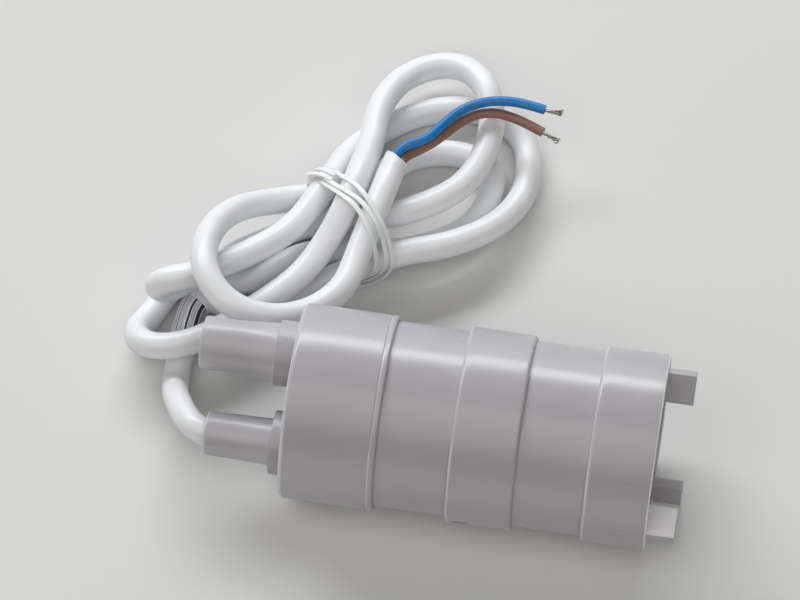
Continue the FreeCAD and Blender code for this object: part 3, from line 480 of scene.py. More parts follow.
BLUE = [(-20, 62.4, 14.7), (-18.9, 65.4, 15.2), (-16.7, 67.1, 15.6), (-14.3, 68.3, 15.6),
        (-12.3, 70.5, 15.6), (-9.9, 74.3, 15.6), (-6.9, 77.7, 15.6), (-3, 79.9, 15.6),
        (1, 80.9, 15.6), (5.6, 80.9, 15.6), (10, 80, 15.6)]
BROWN = [(-18.6, 62.2, 14.3), (-17.6, 64.8, 13.8), (-15, 66.9, 13.6), (-12, 69.6, 13.5),
         (-9.3, 73, 13.5), (-6.6, 76.2, 13.5), (-3.5, 78.3, 13.4), (-0.2, 79, 13.4),
         (3.4, 78.5, 13.3), (7, 77.3, 13.2), (10.2, 75.9, 13.2)]
BLUE_BARE = [(10, 80, 15.6), (12, 79.6, 15.6), (13.9, 79.9, 15.5)]
BROWN_BARE = [(10.2, 75.9, 13.2), (12, 75.2, 13.2), (13.9, 74.1, 13.1)]

# Label: how far it reaches in Y, and its bars as start, width and darkness round the clock.
LABEL_FROM, LABEL_TO = 19.0 * MM, 29.6 * MM
LABEL_LEFT_OF = -52 * MM
LABEL_PRINT = (0.7 * MM, 9.3 * MM)
PAPER_THICK = 0.12 * MM
LABEL_BARS = ((-60, 4, 0.9), (-51, 1.5, 0.5), (-45, 3, 0.8), (-34, 4, 0.95), (-25, 2, 0.6),
              (-20, 2, 0.6), (-15, 2.4, 0.7), (-8, 2, 0.6), (2, 8, 1.0), (14.5, 2, 0.7),
              (19, 2, 0.7), (23.5, 2, 0.6), (28, 2, 0.7), (36, 18, 1.0), (62, 4, 0.6))

# Tie: three flat wraps round the waist of the hank, in millimetres, and its two cut ends.
TIE_ALONG = (0.66, 0.75)
TIE_WRAPS = (
    [(-37, 59.5, 9), (-35.5, 59, 12.6), (-33.7, 59, 14.2), (-31.4, 57.7, 15.8), (-29, 55.4, 17.8),
     (-25.9, 53.3, 18.9), (-22.8, 49.9, 19.2), (-20.1, 46.5, 18.5), (-18.3, 44.5, 16.2),
     (-17, 42.6, 13.4), (-16.2, 41, 11.2), (-16.5, 40.3, 8.2), (-17.8, 40.2, 5), (-20.3, 39.8, 2.6),
     (-22.8, 39.5, 1.1), (-24.9, 39.1, 0.6)],
    [(-31.6, 50.2, 0.55), (-36.2, 55.4, 0.8), (-38.2, 58.2, 4), (-36.7, 58.8, 9), (-35.4, 58, 12.6),
     (-33.7, 57.1, 14.2), (-31.4, 54.5, 16.2), (-28.2, 51.8, 18.6), (-24.8, 49.8, 19.1),
     (-22.5, 47.4, 19.3), (-20.3, 45, 18.5), (-19, 43.4, 16.2), (-18, 41.9, 13.2),
     (-17.5, 40.7, 11.2), (-17.8, 40, 8.6), (-19.3, 40.1, 5.4), (-21.2, 40.3, 3),
     (-23.7, 40.3, 1.2), (-25.4, 39.9, 0.6)],
    [(-31.6, 49.2, 0.55), (-36.6, 54.6, 0.8), (-38.4, 57.2, 4), (-36.2, 58.3, 9),
     (-34.7, 56.8, 12.8), (-33.1, 55.1, 14.6), (-31.2, 53.1, 16.4), (-28.7, 50.6, 18.6),
     (-26.1, 48.7, 19.2), (-23.9, 46.4, 19), (-22.2, 44.1, 18.4), (-20.8, 42, 17),
     (-19.9, 40.6, 14.4), (-19.6, 40, 11), (-19.9, 39, 9), (-21.2, 39.3, 6), (-22.9, 40, 3.2),
     (-24.7, 40, 1.4), (-26.2, 39.9, 0.6)])
TIE_ENDS = (
    [(-31, 56.5, 16.4), (-33.3, 58.3, 14.9), (-35.1, 58.9, 14), (-36.3, 58.6, 13), (-36.8, 58, 12),
     (-36.7, 57.5, 11.4), (-36.2, 57.3, 11)],
    [(-31.6, 55.5, 16), (-33.6, 57, 14.9), (-35.3, 57.5, 14.2), (-36.5, 57.7, 13.4),
     (-37.3, 57.9, 12.6)])
TIE_WIDE = 1.05
TIE_THICK = 0.34 * MM

# Strands: wires in a bundle, their radius, and in radians the turn from one to the next and
# the twist of the bundle.
STRAND_COUNT = 10
STRAND_R = 0.13 * MM
GOLDEN_TURN = 2.39996
STRAND_TWIST = 3.4


# Materials
def plastic_material():
    """Glossy moulded grey plastic with faint flow marks, dust, fine scratches and painted light on
    the rims that face the spigots.
    """
    sizes = bpy.context.scene.pump_sizes
    grey = tuple(sizes.plastic)
    paint = Paint("Moulded grey plastic", IOR=1.5, Coat_Roughness=0.2)
    spot = paint.place()
    cloud = paint.noise(spot, 55.0, 3.0)
    flow = paint.noise(paint.place((35, 240, 240)), 1.0, 3.0, 0.6, 0.4)
    speck = paint.noise(spot, 2600.0, 1.0)
    tone = paint.mix(cloud * 0.55 + flow * 0.45, shade(grey, 0.955), shade(grey, 1.045))
    dust = paint.span(speck, 0.74, 0.82, 0.0, 0.22)
    tone = paint.mix(dust, tone, shade(grey, 1.5))
    # Painted light: rounded rims that face the spigots are made paler, as a lamp from that side
    # would light them.
    tone = paint.mix(painted_rim_light(paint, cloud), tone, shade(grey, 1.95))
    paint.feed("Base Color", tone)
    spigots = paint.span(paint.split(spot)[0], CAP_X - 1.5 * MM, CAP_X, 1.0, 0.0)
    paint.feed("Roughness", sizes.plastic_rough + (cloud - 0.5) * 0.07 + (flow - 0.5) * 0.08
               + spigots * 0.08)
    scratch = paint.noise(paint.place((180, 2600, 2600)), 1.0, 2.0, 0.6)
    paint.feed("Coat Weight", 0.2 + (cloud - 0.5) * 0.2)
    paint.bump(flow * 0.5 + scratch * 0.05 + cloud * 0.4, 0.12, 0.00012)
    return paint.material


def painted_rim_light(paint, cloud):
    """How much painted light falls on a rounded rim that faces the spigots, 0 to 1, less where the
    rim faces up.
    """
    across, _, up = paint.split(paint.node("ShaderNodeTexCoord", {}, out="Normal"))
    facing = across * -1.0
    return (paint.span(facing, 0.1, 0.4) * paint.span(facing, 0.9, 0.98, 1.0, 0.0)
            * paint.span(up, 0.5, 0.8, 1.0, 0.3) * (0.4 + cloud * 0.4))


def painted_sheen_material():
    """Pale streaked plastic, used as painted light on the end rim and as a painted sheen on one
    foot.
    """
    grey = tuple(bpy.context.scene.pump_sizes.plastic)
    paint = Paint("Grey plastic with painted sheen", IOR=1.5)
    streak = paint.noise(paint.place((120, 2200, 1500)), 1.0, 3.0, 0.6)
    cloud = paint.noise(paint.place(), 400.0, 2.0)
    # Painted light: the plain grey made much paler, with streaks.
    tone = paint.mix(streak * 0.8 + cloud * 0.2, shade(grey, 1.7), shade(grey, 2.4))
    paint.feed("Base Color", tone)
    paint.feed("Roughness", 0.35 + (streak - 0.5) * 0.3)
    paint.bump(streak, 0.4, 0.0001)
    return paint.material


def ringed_plastic_material():
    """The same plastic with the fine turning lines of the spigots' base rings."""
    sizes = bpy.context.scene.pump_sizes
    grey = tuple(sizes.plastic)
    paint = Paint("Ringed grey plastic", IOR=1.5, Coat_Roughness=0.12)
    spot = paint.place()
    cloud = paint.noise(spot, 55.0, 3.0)
    lines = paint.node("ShaderNodeTexWave", {"wave_type": "BANDS", "bands_direction": "X"}, {
        "Vector": spot, "Scale": 520.0, "Distortion": 0.6, "Detail": 2.0})
    tone = paint.mix(cloud, shade(grey, 0.93), shade(grey, 1.03))
    tone = paint.mix(lines * 0.16, tone, shade(grey, 1.25))
    paint.feed("Base Color", tone)
    paint.feed("Roughness", sizes.plastic_rough + 0.06 + (cloud - 0.5) * 0.1)
    paint.bump(lines, 0.25, 0.00008)
    return paint.material


def sheath_material():
    """White soft sheath, slightly milky and with faint grime, made once."""
    made = bpy.data.materials.get("White sheath")
    if made:
        return made
    white = tuple(bpy.context.scene.cable_sizes.sheath)
    paint = Paint("White sheath", IOR=1.46, Subsurface_Weight=0.25, Subsurface_Scale=0.0015)
    paint.shader.inputs["Subsurface Radius"].default_value = (1.0, 0.95, 0.9)
    spot = paint.place()
    cloud = paint.noise(spot, 70.0, 3.0)
    fine = paint.noise(spot, 900.0, 2.0)
    grime = paint.span(paint.noise(spot, 160.0, 4.0, 0.65), 0.58, 0.8, 0.0, 0.16)
    tone = paint.mix(cloud, shade(white, 0.97), shade(white, 1.03))
    tone = paint.mix(grime, tone, shade(white, 0.82))
    paint.feed("Base Color", tone)
    paint.feed("Roughness", 0.32 + (cloud - 0.5) * 0.1 + grime * 0.8)
    paint.bump(cloud * 0.7 + fine * 0.12, 0.15, 0.00012)
    return paint.material


def core_material(name, colour):
    """Coloured core insulation with a faint dusty bloom."""
    paint = Paint(name, IOR=1.5, Coat_Weight=0.0)
    spot = paint.place()
    cloud = paint.noise(spot, 220.0, 3.0)
    fine = paint.noise(spot, 1800.0, 2.0)
    tone = paint.mix(cloud, shade(colour, 0.9), shade(colour, 1.14))
    bloom = paint.span(fine, 0.55, 0.85, 0.0, 0.12)
    tone = paint.mix(bloom, tone, (0.7, 0.7, 0.7))
    paint.feed("Base Color", tone)
    paint.feed("Roughness", 0.42 + (cloud - 0.5) * 0.14)
    paint.bump(cloud * 0.6 + fine * 0.2, 0.2, 0.0001)
    return paint.material


def metal_material(name, colour, rough=0.3, line=(1, 1, 1), scale=900.0, depth=0.1):
    """Metal with fine working marks; line stretches the marks along the piece."""
    paint = Paint(name, Metallic=1.0)
    marks = paint.noise(paint.place(line), scale, 3.0, 0.6)
    cloud = paint.noise(paint.place(), 120.0, 3.0)
    tone = paint.mix(marks * 0.6 + cloud * 0.4, shade(colour, 0.8), shade(colour, 1.12))
    paint.feed("Base Color", tone)
    paint.feed("Roughness", rough + (marks - 0.5) * 0.2 + (cloud - 0.5) * 0.1)
    paint.bump(marks, depth, 0.00006)
    return paint.material


def dull_material(name, colour, rough=0.55, scale=600.0, depth=0.2, spread=0.12):
    """Matt moulded plastic, rubber, ferrite or carbon with a fine grain."""
    paint = Paint(name, IOR=1.5)
    grain = paint.noise(paint.place(), scale, 3.0, 0.6)
    cloud = paint.noise(paint.place(), 90.0, 3.0)
    tone = paint.mix(
        grain * 0.5 + cloud * 0.5, shade(colour, 1 - spread), shade(colour, 1 + spread))
    paint.feed("Base Color", tone)
    paint.feed("Roughness", rough + (grain - 0.5) * 0.2)
    paint.bump(grain, depth, 0.0001)
    return paint.material


def banded_material(name, colour, other, scale, wave, metallic, rough=0.4, depth=0.5):
    """Stacked sheets or wound wire: fine bands across the axis or rings round it."""
    paint = Paint(name, Metallic=metallic)
    spot = paint.place()
    bands = paint.node("ShaderNodeTexWave", wave, {
        "Vector": spot, "Scale": scale, "Distortion": 0.8, "Detail": 2.0})
    cloud = paint.noise(spot, 200.0, 3.0)
    tone = paint.mix(bands * 0.7 + cloud * 0.3, other, colour)
    paint.feed("Base Color", tone)
    paint.feed("Roughness", rough + (cloud - 0.5) * 0.2)
    paint.bump(bands, depth, 0.0001)
    return paint.material


def label_material():
    """Coated paper with plain dark bars that run along the cable."""
    paint = Paint("Bar label", IOR=1.45)
    clock = paint.node("ShaderNodeAttribute", {"attribute_name": "label_clock"}, out="Fac")
    along = paint.node("ShaderNodeAttribute", {"attribute_name": "label_along"}, out="Fac")
    stops = [(0.0, (0, 0, 0))]
    for start, width, dark in LABEL_BARS:
        stops.append(((start + 90) / 180, (dark, dark, dark)))
        stops.append(((start + width + 90) / 180, (0, 0, 0)))
    bars = paint.node("ShaderNodeValToRGB", {"stops": stops}, [(clock + 90) / 180])
    bars.socket.node.color_ramp.interpolation = "CONSTANT"
    chance = paint.node("ShaderNodeTexWhiteNoise", {"noise_dimensions": "1D"},
                        {"W": (clock / 4.5).maths("FLOOR")})
    rest = (chance > 0.6) * (clock.maths("ABSOLUTE") > 60)
    inside = (along > LABEL_PRINT[0]) * (along < LABEL_PRINT[1])
    cloud = paint.noise(paint.place(), 500.0, 3.0)
    paper = paint.mix(cloud, (0.84, 0.85, 0.91), (0.92, 0.93, 0.97))
    ink = paint.mix(cloud, (0.012, 0.012, 0.02), (0.05, 0.05, 0.07))
    paint.feed("Base Color", paint.mix(bars.maths("MAXIMUM", rest) * inside, paper, ink))
    paint.feed("Roughness", 0.45 + (cloud - 0.5) * 0.2)
    paint.bump(cloud, 0.15, 0.00005)
    return paint.material


def tie_material():
    """Clear-white tie of soft plastic."""
    paint = Paint("Milky tie", IOR=1.46, Transmission_Weight=0.03, Subsurface_Weight=0.25,
                  Subsurface_Scale=0.001)
    cloud = paint.noise(paint.place(), 400.0, 3.0)
    paint.feed("Base Color", paint.mix(cloud, (0.86, 0.87, 0.88), (0.93, 0.93, 0.93)))
    paint.feed("Roughness", 0.3 + (cloud - 0.5) * 0.2)
    paint.bump(cloud, 0.2, 0.0001)
    return paint.material


# Operators
class PUMP_OT_stage(bpy.types.Operator):
    """Floor, lights and camera"""
    bl_idname = "pump.stage"
    bl_label = "Stage"

    def execute(self, context):
        sizes = context.scene.stage_sizes
        clear_selection()
        bpy.ops.mesh.primitive_plane_add(size=6, location=(0, 0.5, 0))
        floor = context.object
        floor.name = "studio_floor"
        paint = Paint("Pale floor")
        cloud = paint.noise(paint.place(), 3.0, 2.0)
        tone = paint.mix(cloud, shade(sizes.floor, 0.98), shade(sizes.floor, 1.02))
        paint.feed("Base Color", tone)
        paint.shader.inputs["Roughness"].default_value = 0.9
        paint.shader.inputs["Specular IOR Level"].default_value = 0.2
        floor.data.materials.append(paint.material)

        cool = (0.97, 0.985, 1.0)
        self.panel("Back strip", -27, 39, 1.4, (0.32, 1.6), sizes.strip_power, cool)
        self.panel("Low back panel", -10, 14, 2.2, (0.85, 2.6), sizes.low_power, cool)
        self.panel("Front panel", 180, 59, 1.9, (1.75, 3.0), sizes.top_power, (1.0, 0.988, 0.96))
        world = bpy.data.worlds.new("Studio")
        world.use_nodes = True
        back = world.node_tree.nodes["Background"]
        back.inputs[0].default_value = (1.0, 0.97, 0.9, 1)
        back.inputs[1].default_value = sizes.air
        context.scene.world = world
        context.scene.view_settings.view_transform = "Standard"

        self.camera(context)
        return {"FINISHED"}

    def panel(self, name, bearing, rise, far, size, power, colour):
        """A light on a sphere round the pump, seen from it at a bearing and a height."""
        bearing, rise = math.radians(bearing), math.radians(rise)
        aim = Vector((0, 0.02, 0.02))
        place = aim + far * Vector((math.cos(rise) * math.sin(bearing),
                                    math.cos(rise) * math.cos(bearing), math.sin(rise)))
        data = bpy.data.lights.new(name, "AREA")
        data.shape = "RECTANGLE"
        data.size, data.size_y = size
        data.energy = power
        data.color = colour
        lamp = bpy.data.objects.new(name, data)
        lamp.location = place
        lamp.rotation_mode = "QUATERNION"
        lamp.rotation_quaternion = (aim - place).to_track_quat("-Z", "X")
        bpy.context.collection.objects.link(lamp)

    def camera(self, context):
        """The camera, turned a little about its own view."""
        azimuth, elevation, roll = (math.radians(turn) for turn in CAMERA_TURNS)
        ahead = Vector((-math.sin(azimuth) * math.cos(elevation),
                        math.cos(azimuth) * math.cos(elevation), -math.sin(elevation)))
        right = Vector((math.cos(azimuth), math.sin(azimuth), 0))
        up = right.cross(ahead)
        side = right * math.cos(roll) + up * math.sin(roll)
        top = up * math.cos(roll) - right * math.sin(roll)
        data = bpy.data.cameras.new("Camera")
        data.sensor_width = 36
        data.lens = CAMERA_LENS
        data.clip_start = 0.05
        data.clip_end = 20
        camera = bpy.data.objects.new("Camera", data)
        rows = [(side[k], top[k], -ahead[k], CAMERA_PLACE[k]) for k in range(3)]
        camera.matrix_world = Matrix((*rows, (0, 0, 0, 1)))
        context.collection.objects.link(camera)
        context.scene.camera = camera


class PUMP_OT_cable(bpy.types.Operator):
    """White cable from the spigot through the hank to its stripped end"""
    bl_idname = "pump.cable"
    bl_label = "Cable and cores"

    def execute(self, context):
        sizes = context.scene.cable_sizes
        cable = lines("cable", [CABLE], sizes.diameter / 2, resolution=8, bevel=10)
        dress(cable, sheath_material(), "lead_free", "lead_hank")
        for name, route, colour in (("blue", BLUE, sizes.blue), ("brown", BROWN, sizes.brown)):
            core = lines("core_%s_wire" % name, [route], sizes.core / 2, bevel=8)
            dress(core, core_material("%s core" % name.title(), tuple(colour)), "core_" + name)
        return {"FINISHED"}


class PUMP_OT_cable_trim(bpy.types.Operator):
    """Bare strands, tie and label on the cable"""
    bl_idname = "pump.cable_trim"
    bl_label = "Strands, tie and label"

    def execute(self, context):
        tinned = metal_material("Tinned strands", (0.55, 0.54, 0.5), 0.28, (1, 1, 1), 1500.0)
        for name, route in (("blue", BLUE_BARE), ("brown", BROWN_BARE)):
            self.strands(name, route, tinned)
        self.tie()
        self.label()
        self.stripped_end()
        return {"FINISHED"}

    def stripped_end(self):
        """The hollow end of the sheath, cut slantwise where the cores come out."""
        line = line_of(CABLE[-6:])
        end = line[-1]
        ahead = (end - line[-2]).normalized()
        clear_selection()
        bpy.ops.mesh.primitive_circle_add(
            vertices=48, radius=2.8 * MM, fill_type="NOTHING", location=end - ahead * 0.3 * MM,
            rotation=ahead.to_track_quat("Z", "Y").to_euler())
        obj = bpy.context.object
        bpy.ops.object.transform_apply(location=True, rotation=True, scale=True)
        bpy.ops.object.mode_set(mode="EDIT")
        bpy.ops.mesh.select_mode(type="EDGE")
        bpy.ops.mesh.select_all(action="SELECT")
        for _ in range(3):
            bpy.ops.mesh.extrude_edges_move(TRANSFORM_OT_translate={"value": ahead * MM})
        middle = end + ahead * 2.7 * MM
        bpy.ops.transform.resize(value=(1.05, 1.05, 1.0), center_override=middle)
        bpy.ops.transform.rotate(value=math.radians(24), orient_axis="Z", center_override=middle)
        bpy.ops.transform.rotate(value=math.radians(-14), orient_axis="X", center_override=middle)
        bpy.ops.transform.vertex_random(offset=0.12 * MM, seed=5)
        bpy.ops.object.mode_set(mode="OBJECT")
        thicken(obj, 0.5 * MM)
        dress(settle(obj, "stripped_end", angle=60), sheath_material(), "lead_hank")

    def tie(self):
        """A flat strip that goes three times round the waist of the hank, and its ends."""
        clear_selection()
        around = [spot for wrap in TIE_WRAPS for spot in wrap]
        strip = to_mesh(lines("Tie line", [around, *TIE_ENDS], 0.0, resolution=8, caps=False))
        wide = Vector((*TIE_ALONG, 0)).normalized() * TIE_WIDE * MM
        bpy.ops.object.mode_set(mode="EDIT")
        bpy.ops.mesh.select_mode(type="EDGE")
        bpy.ops.mesh.select_all(action="SELECT")
        bpy.ops.transform.translate(value=-wide / 2)
        bpy.ops.mesh.extrude_edges_move(TRANSFORM_OT_translate={"value": wide})
        bpy.ops.object.mode_set(mode="OBJECT")
        thicken(strip, TIE_THICK, 0)
        edge = strip.modifiers.new("Edge", "BEVEL")
        edge.width = 0.12 * MM
        edge.segments = 3
        edge.limit_method = "ANGLE"
        edge.angle_limit = math.radians(60)
        bpy.ops.object.modifier_apply(modifier=edge.name)
        dress(settle(strip, "tie_wraps", angle=50), tie_material(), "tie_band")

    def strands(self, name, route, material):
        """A twist of thin wires that opens a little towards its end."""
        line = line_of(route, 8)
        ahead = (line[-1] - line[0]).normalized()
        side = ahead.cross(Vector((0, 0, 1))).normalized()
        rise = side.cross(ahead)
        wires = []
        for k in range(STRAND_COUNT):
            ring = 0.0 if k == 0 else (0.27 if k < 4 else 0.42)
            stray = 0.55 if k % 4 == 1 else 0.0
            wires.append([])
            for j, point in enumerate(line):
                part = j / (len(line) - 1)
                turn = k * GOLDEN_TURN + part * STRAND_TWIST
                reach = ring * MM * (0.75 + 0.25 * part + stray * part ** 3)
                cut = point - ahead * (part ** 4 * 0.5 * MM * ((k * 7) % 5) / 5)
                wires[-1].append(
                    cut + side * (reach * math.cos(turn)) + rise * (reach * math.sin(turn)))
        obj = to_mesh(lines("Strands", wires, STRAND_R, "POLY", 1, bevel=2))
        dress(settle(obj, "strands_%s_wires" % name), material, "strands_" + name)

    def label(self):
        """A thin paper sleeve round the cable, which bends with it."""
        line = [p for p in line_of(CABLE[:15])
                if p.x < LABEL_LEFT_OF and LABEL_FROM < p.y < LABEL_TO]
        reach = [0.0]
        for k in range(1, len(line)):
            reach.append(reach[-1] + (line[k] - line[k - 1]).length)
        obj = to_mesh(lines("Label", [line], 2.98 * MM, "POLY", 1, bevel=14, caps=False))
        mesh = obj.data
        clock = mesh.attributes.new("label_clock", "FLOAT", "POINT")
        along = mesh.attributes.new("label_along", "FLOAT", "POINT")
        for k, vertex in enumerate(mesh.vertices):
            near = min(range(len(line)), key=lambda j: (line[j] - vertex.co).length)
            ahead = (line[min(near + 1, len(line) - 1)] - line[max(near - 1, 0)]).normalized()
            out = vertex.co - line[near]
            side = ahead.cross(Vector((0, 0, 1))).normalized()
            clock.data[k].value = math.degrees(math.atan2(out.dot(side), out.z))
            along.data[k].value = reach[near]
        thicken(obj, PAPER_THICK)
        dress(settle(obj, "bar_label"), label_material(), "lead_label")


class PUMP_OT_cap(bpy.types.Operator):
    """Top cap with the hose spigot and the cable spigot"""
    bl_idname = "pump.cap"
    bl_label = "Top cap"

    def execute(self, context):
        profile = [(CAP_X, NEAR_AXIS * MM), (CAP_X, 9 * MM), (CAP_X, 15 * MM)]
        profile += rounded(CAP_X, RING_R, 1.0 * MM, 1, -1)[::-1]
        profile += [(CAP_X + 6 * MM, RING_R), (CAP_X + 12 * MM, RING_R),
                    (CAP_RIM_X - 1.5 * MM, RING_R), (CAP_RIM_X - 1.35 * MM, RING_R - 0.12 * MM),
                    (CAP_RIM_X - 1.2 * MM, RING_R - 0.02 * MM)]
        profile += rounded(CAP_RIM_X, RING_R, 0.5 * MM, -1, -1)
        profile += [(CAP_RIM_X, BORE_R + 0.15 * MM), (CAP_RIM_X - 0.15 * MM, BORE_R),
                    (CAP_X + 2.4 * MM, BORE_R), (CAP_X + 2.4 * MM, NEAR_AXIS * MM)]
        cap = lathe("top_cap_shell", profile)
        outlet = self.spigot("outlet_spigot_shell", OUTLET, SPIGOT_TIP_X, tip_r=5.45, root_r=6.0,
                             ring_r=6.75, ring_long=4.4, land=6.5)
        cable = self.spigot("cable_spigot_shell", CABLE_EXIT, CABLE_TIP_X, tip_r=4.45, root_r=4.8,
                            ring_r=6.6, ring_long=3.0, land=0.4)
        cap = combine(cap, outlet, "UNION")
        cap = combine(cap, cable, "UNION")
        for centre, tip, radius in ((OUTLET, SPIGOT_TIP_X, OUTLET_BORE_R),
                                    (CABLE_EXIT, CABLE_TIP_X, CABLE_BORE_R)):
            clear_selection()
            bpy.ops.mesh.primitive_cylinder_add(
                vertices=96, radius=radius, depth=(CAP_X - tip) + 8 * MM,
                location=((tip + CAP_X) / 2 + 1 * MM, *centre), rotation=(0, math.pi / 2, 0))
            cap = combine(cap, settle(context.object, "bore_cutter"), "DIFFERENCE")
        dress(cap, plastic_material(), "top_cap")
        cap.data.materials.append(ringed_plastic_material())
        for face in cap.data.polygons:
            x, y, z = face.center
            near = min(math.hypot(y - OUTLET[0], z - OUTLET[1]),
                       math.hypot(y - CABLE_EXIT[0], z - CABLE_EXIT[1]))
            if CAP_X - 4.5 * MM < x < CAP_X + 0.05 * MM and 6.2 * MM < near < 7.6 * MM:
                face.material_index = 1
        return {"FINISHED"}

    def spigot(self, name, centre, tip, tip_r, root_r, ring_r, ring_long, land):
        """A tapered spigot with its base ring; radii and lengths in millimetres."""
        ring_x = CAP_X - ring_long * MM
        profile = [
            (tip, NEAR_AXIS), (tip, tip_r - 0.9), (tip, tip_r - 0.45),
            (tip + 0.13 * MM, tip_r - 0.13),
            (tip + 0.45 * MM, tip_r), (tip + land * MM, tip_r), (ring_x - 0.35 * MM, root_r),
            (ring_x - 0.1 * MM, root_r + 0.1), (ring_x, root_r + 0.3), (ring_x, ring_r - 0.3),
            (ring_x + 0.1 * MM, ring_r - 0.08), (ring_x + 0.35 * MM, ring_r),
            (CAP_X - 0.4 * MM, ring_r), (CAP_X - 0.12 * MM, ring_r + 0.1),
            (CAP_X + 0.05 * MM, ring_r + 0.35), (CAP_X + 1.2 * MM, ring_r + 0.35),
            (CAP_X + 1.2 * MM, NEAR_AXIS)]
        return lathe(name, [(x, r * MM) for x, r in profile], centre=centre, steps=96)


class PUMP_OT_casing(bpy.types.Operator):
    """Casing tubes, middle collar and suction cover"""
    bl_idname = "pump.casing"
    bl_label = "Casing"

    def execute(self, context):
        plain = bpy.data.materials["Moulded grey plastic"]
        for name in ("upper_tube", "lower_tube"):
            low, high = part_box(name)
            profile = [(low.x, WALL_R), (low.x, TUBE_R)]
            profile += [(low.x + (high.x - low.x) * k / 12, TUBE_R) for k in range(1, 12)]
            profile += [(high.x, TUBE_R), (high.x, WALL_R)]
            dress(lathe(name + "_shell", profile), plain, name)
        self.collar(plain)
        self.cover(plain)
        return {"FINISHED"}

    def collar(self, plain):
        """The middle collar with its inner step and its small round hole."""
        low, high = COLLAR_LOW.x, COLLAR_HIGH.x
        middle = (low + high) / 2
        profile = rim_band(low, high) + rounded(high, RING_R, rim_rounding(), -1, -1)
        profile += [(high, BORE_R + EASE), (high - EASE, BORE_R),
                    (middle + 0.8 * MM, BORE_R), (middle + 0.8 * MM, WALL_R),
                    (middle - 0.8 * MM, WALL_R), (middle - 0.8 * MM, BORE_R),
                    (low + EASE, BORE_R)]
        collar = lathe("mid_collar_shell", profile)
        turn = math.radians(DRAIN_CLOCK)
        out = Vector((0, math.cos(turn), math.sin(turn)))
        clear_selection()
        bpy.ops.mesh.primitive_cylinder_add(
            vertices=64, radius=DRAIN_R, depth=3 * MM,
            location=Vector((low + DRAIN_INSET, 0, AXIS_Z)) + out * (RING_R + 0.4 * MM),
            rotation=out.to_track_quat("Z", "X").to_euler())
        collar = combine(collar, settle(bpy.context.object, "drain_cutter"), "DIFFERENCE")
        dress(collar, plain, "mid_collar")

    def cover(self, plain):
        """The suction cover: a cup with a holed plate in a recess, and three feet."""
        low, high = COVER_LOW.x, COVER_RIM_X
        plate = RECESS_X - PLATE_THICK
        profile = rim_band(low, high) + rounded(high, RING_R, 0.35 * MM, -1, -1)
        profile += rounded(high, LIP_R, 0.3 * MM, -1, 1)[::-1]
        profile += [(RECESS_X + 0.4 * MM, LIP_R), (RECESS_X + EASE, LIP_R - EASE),
                    (RECESS_X, LIP_R - 0.4 * MM), (RECESS_X, 12 * MM),
                    (RECESS_X, SUCTION_HOLE_R + 0.3 * MM), (RECESS_X - 0.15 * MM, SUCTION_HOLE_R),
                    (plate, SUCTION_HOLE_R), (plate, BORE_R),
                    (low + EASE, BORE_R)]
        cover = lathe("suction_cover_shell", profile)
        long = COVER_HIGH.x - RECESS_X + 0.6 * MM
        for clock in FOOT_CLOCKS:
            turn = math.radians(clock)
            foot = block("foot_block", (long, FOOT_WIDE, FOOT_THICK),
                         (COVER_HIGH.x - long / 2, FOOT_MIDDLE_R * math.cos(turn),
                          AXIS_Z + FOOT_MIDDLE_R * math.sin(turn)),
                         turn=(turn, 0, 0), bevel=0.25 * MM)
            cover = combine(cover, foot, "UNION")
        dress(cover, plain, "suction_cover")
        cover.data.materials.append(painted_sheen_material())
        # Painted light: the upward face of the front foot gets the pale plastic as a painted sheen,
        # and the end rim faces that look along X get it as painted light.
        for face in cover.data.polygons:
            x, y, z = face.center
            painted_foot_sheen = x > RECESS_X + 1 * MM and face.normal.z > 0.9 and y < -11 * MM
            rim = (high - 0.4 * MM < x < high + 0.05 * MM and face.normal.x > 0.35
                   and math.hypot(y, z - AXIS_Z) > LIP_R - EASE)
            if painted_foot_sheen or rim:
                face.material_index = 1


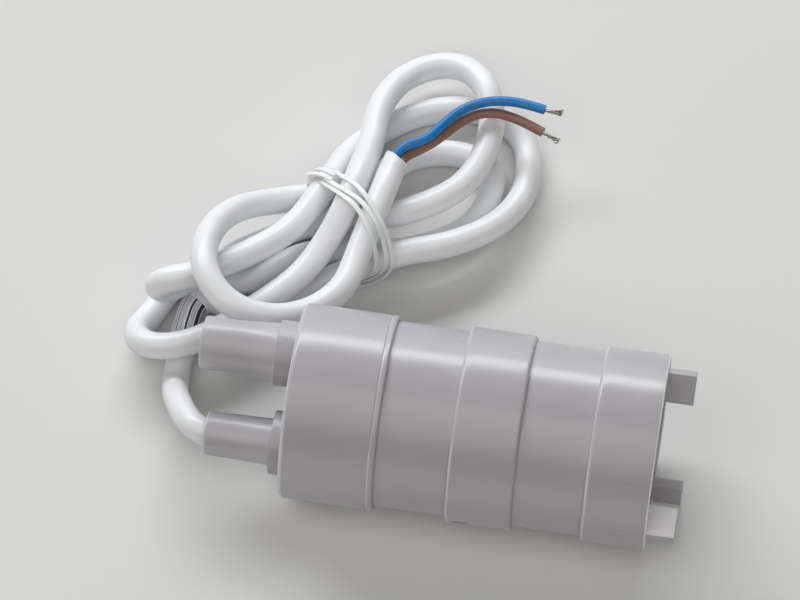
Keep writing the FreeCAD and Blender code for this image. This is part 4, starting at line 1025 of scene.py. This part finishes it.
class PUMP_OT_inside(bpy.types.Operator):
    """Finishes of the motor, rotor and other inner pieces"""
    bl_idname = "pump.inside"
    bl_label = "Inner finishes"

    def execute(self, context):
        black = dull_material("Black moulded plastic", (0.03, 0.03, 0.033))
        rubber = dull_material("Black rubber", (0.018, 0.018, 0.018), 0.7, 1200.0, 0.3)
        steel = metal_material("Plated steel", (0.5, 0.5, 0.5), 0.32, (0.15, 1, 1), 1500.0)
        ground = metal_material("Ground steel", (0.56, 0.56, 0.57), 0.2, (2, 1, 1), 2500.0)
        bronze = metal_material("Sintered bronze", (0.5, 0.33, 0.16), 0.45, (1, 1, 1), 1600.0, 0.2)
        brass = metal_material("Turned brass", (0.62, 0.44, 0.17), 0.25, (2, 1, 1), 2000.0)
        copper = metal_material("Turned copper", (0.62, 0.26, 0.13), 0.25, (2, 1, 1), 2000.0)
        nylon = dull_material("Natural nylon", (0.72, 0.7, 0.62), 0.4, 500.0, 0.15)
        acetal = dull_material("Natural acetal", (0.66, 0.66, 0.62), 0.35, 400.0, 0.12, 0.06)
        cream = dull_material("Cream moulded plastic", (0.6, 0.58, 0.5), 0.45)
        ferrite = dull_material("Dark ferrite", (0.05, 0.05, 0.055), 0.6, 900.0, 0.3)
        carbon = dull_material("Pressed carbon", (0.025, 0.025, 0.027), 0.5, 1500.0, 0.3)
        ceramic = dull_material("Dipped ceramic", (0.5, 0.2, 0.04), 0.3, 300.0, 0.2)
        sheets = banded_material(
            "Stacked laminations", (0.42, 0.42, 0.44), (0.2, 0.2, 0.22), 700.0,
            {"wave_type": "BANDS", "bands_direction": "X"}, 0.9)
        wound = banded_material(
            "Enamelled windings", (0.6, 0.2, 0.06), (0.24, 0.07, 0.02), 420.0,
            {"wave_type": "RINGS", "rings_direction": "X"}, 0.7, 0.35)
        finishes = {
            "motor_capsule": black, "capsule_lid": black, "guide_vane_ring": black,
            "lid_seal": rubber, "cable_gland_seal": rubber, "shaft_seal": rubber,
            "cable_entry": bpy.data.materials["White sheath"], "motor_can": steel,
            "motor_end_bell": cream, "front_bush": bronze, "rear_bush": bronze,
            "seal_retainer": steel, "magnet_upper": ferrite, "magnet_lower": ferrite,
            "motor_screw_a": steel, "motor_screw_b": steel, "shaft": ground,
            "armature_core": sheets, "windings": wound, "commutator": copper,
            "thrust_washer_rear": nylon, "thrust_washer_front": nylon, "impeller": acetal,
            "impeller_nut": brass, "brush_left": carbon, "brush_right": carbon,
            "spring_leaf_left": bronze, "spring_leaf_right": bronze, "terminal_left": brass,
            "terminal_right": brass, "capacitor": ceramic,
            "inner_lead_blue": bpy.data.materials["Blue core"],
            "inner_lead_brown": bpy.data.materials["Brown core"],
        }
        for name, material in finishes.items():
            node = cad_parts[name]
            node.data.materials.clear()
            node.data.materials.append(material)
        return {"FINISHED"}


class PUMP_PT_panel(bpy.types.Panel):
    """Sizes, colours and build steps of the pump"""
    bl_label = "Submersible pump"
    bl_idname = "PUMP_PT_panel"
    bl_space_type = "VIEW_3D"
    bl_region_type = "UI"
    bl_category = "Pump"

    def draw(self, context):
        layout = self.layout
        for group_name, _ in GROUPS:
            group = getattr(context.scene, group_name)
            for name in group.bl_rna.properties.keys():
                if name not in ("rna_type", "name"):
                    layout.prop(group, name)
        for step in STEPS:
            layout.operator(step.bl_idname)


STEPS = (PUMP_OT_stage, PUMP_OT_cable_trim, PUMP_OT_cable, PUMP_OT_cap, PUMP_OT_casing,
         PUMP_OT_inside)
GROUPS = (("pump_sizes", PumpSizes), ("cable_sizes", CableSizes), ("stage_sizes", StageSizes))


def register():
    for _, group in GROUPS:
        bpy.utils.register_class(group)
    for name, group in GROUPS:
        setattr(bpy.types.Scene, name, bpy.props.PointerProperty(type=group))
    for step in STEPS:
        bpy.utils.register_class(step)
    bpy.utils.register_class(PUMP_PT_panel)


def unregister():
    bpy.utils.unregister_class(PUMP_PT_panel)
    for step in reversed(STEPS):
        bpy.utils.unregister_class(step)
    for name, group in reversed(GROUPS):
        delattr(bpy.types.Scene, name)
        bpy.utils.unregister_class(group)


def main():
    register()
    for step in STEPS:
        getattr(bpy.ops.pump, step.bl_idname.split(".")[1])()
    clear_selection()


if __name__ == "__main__":
    main()
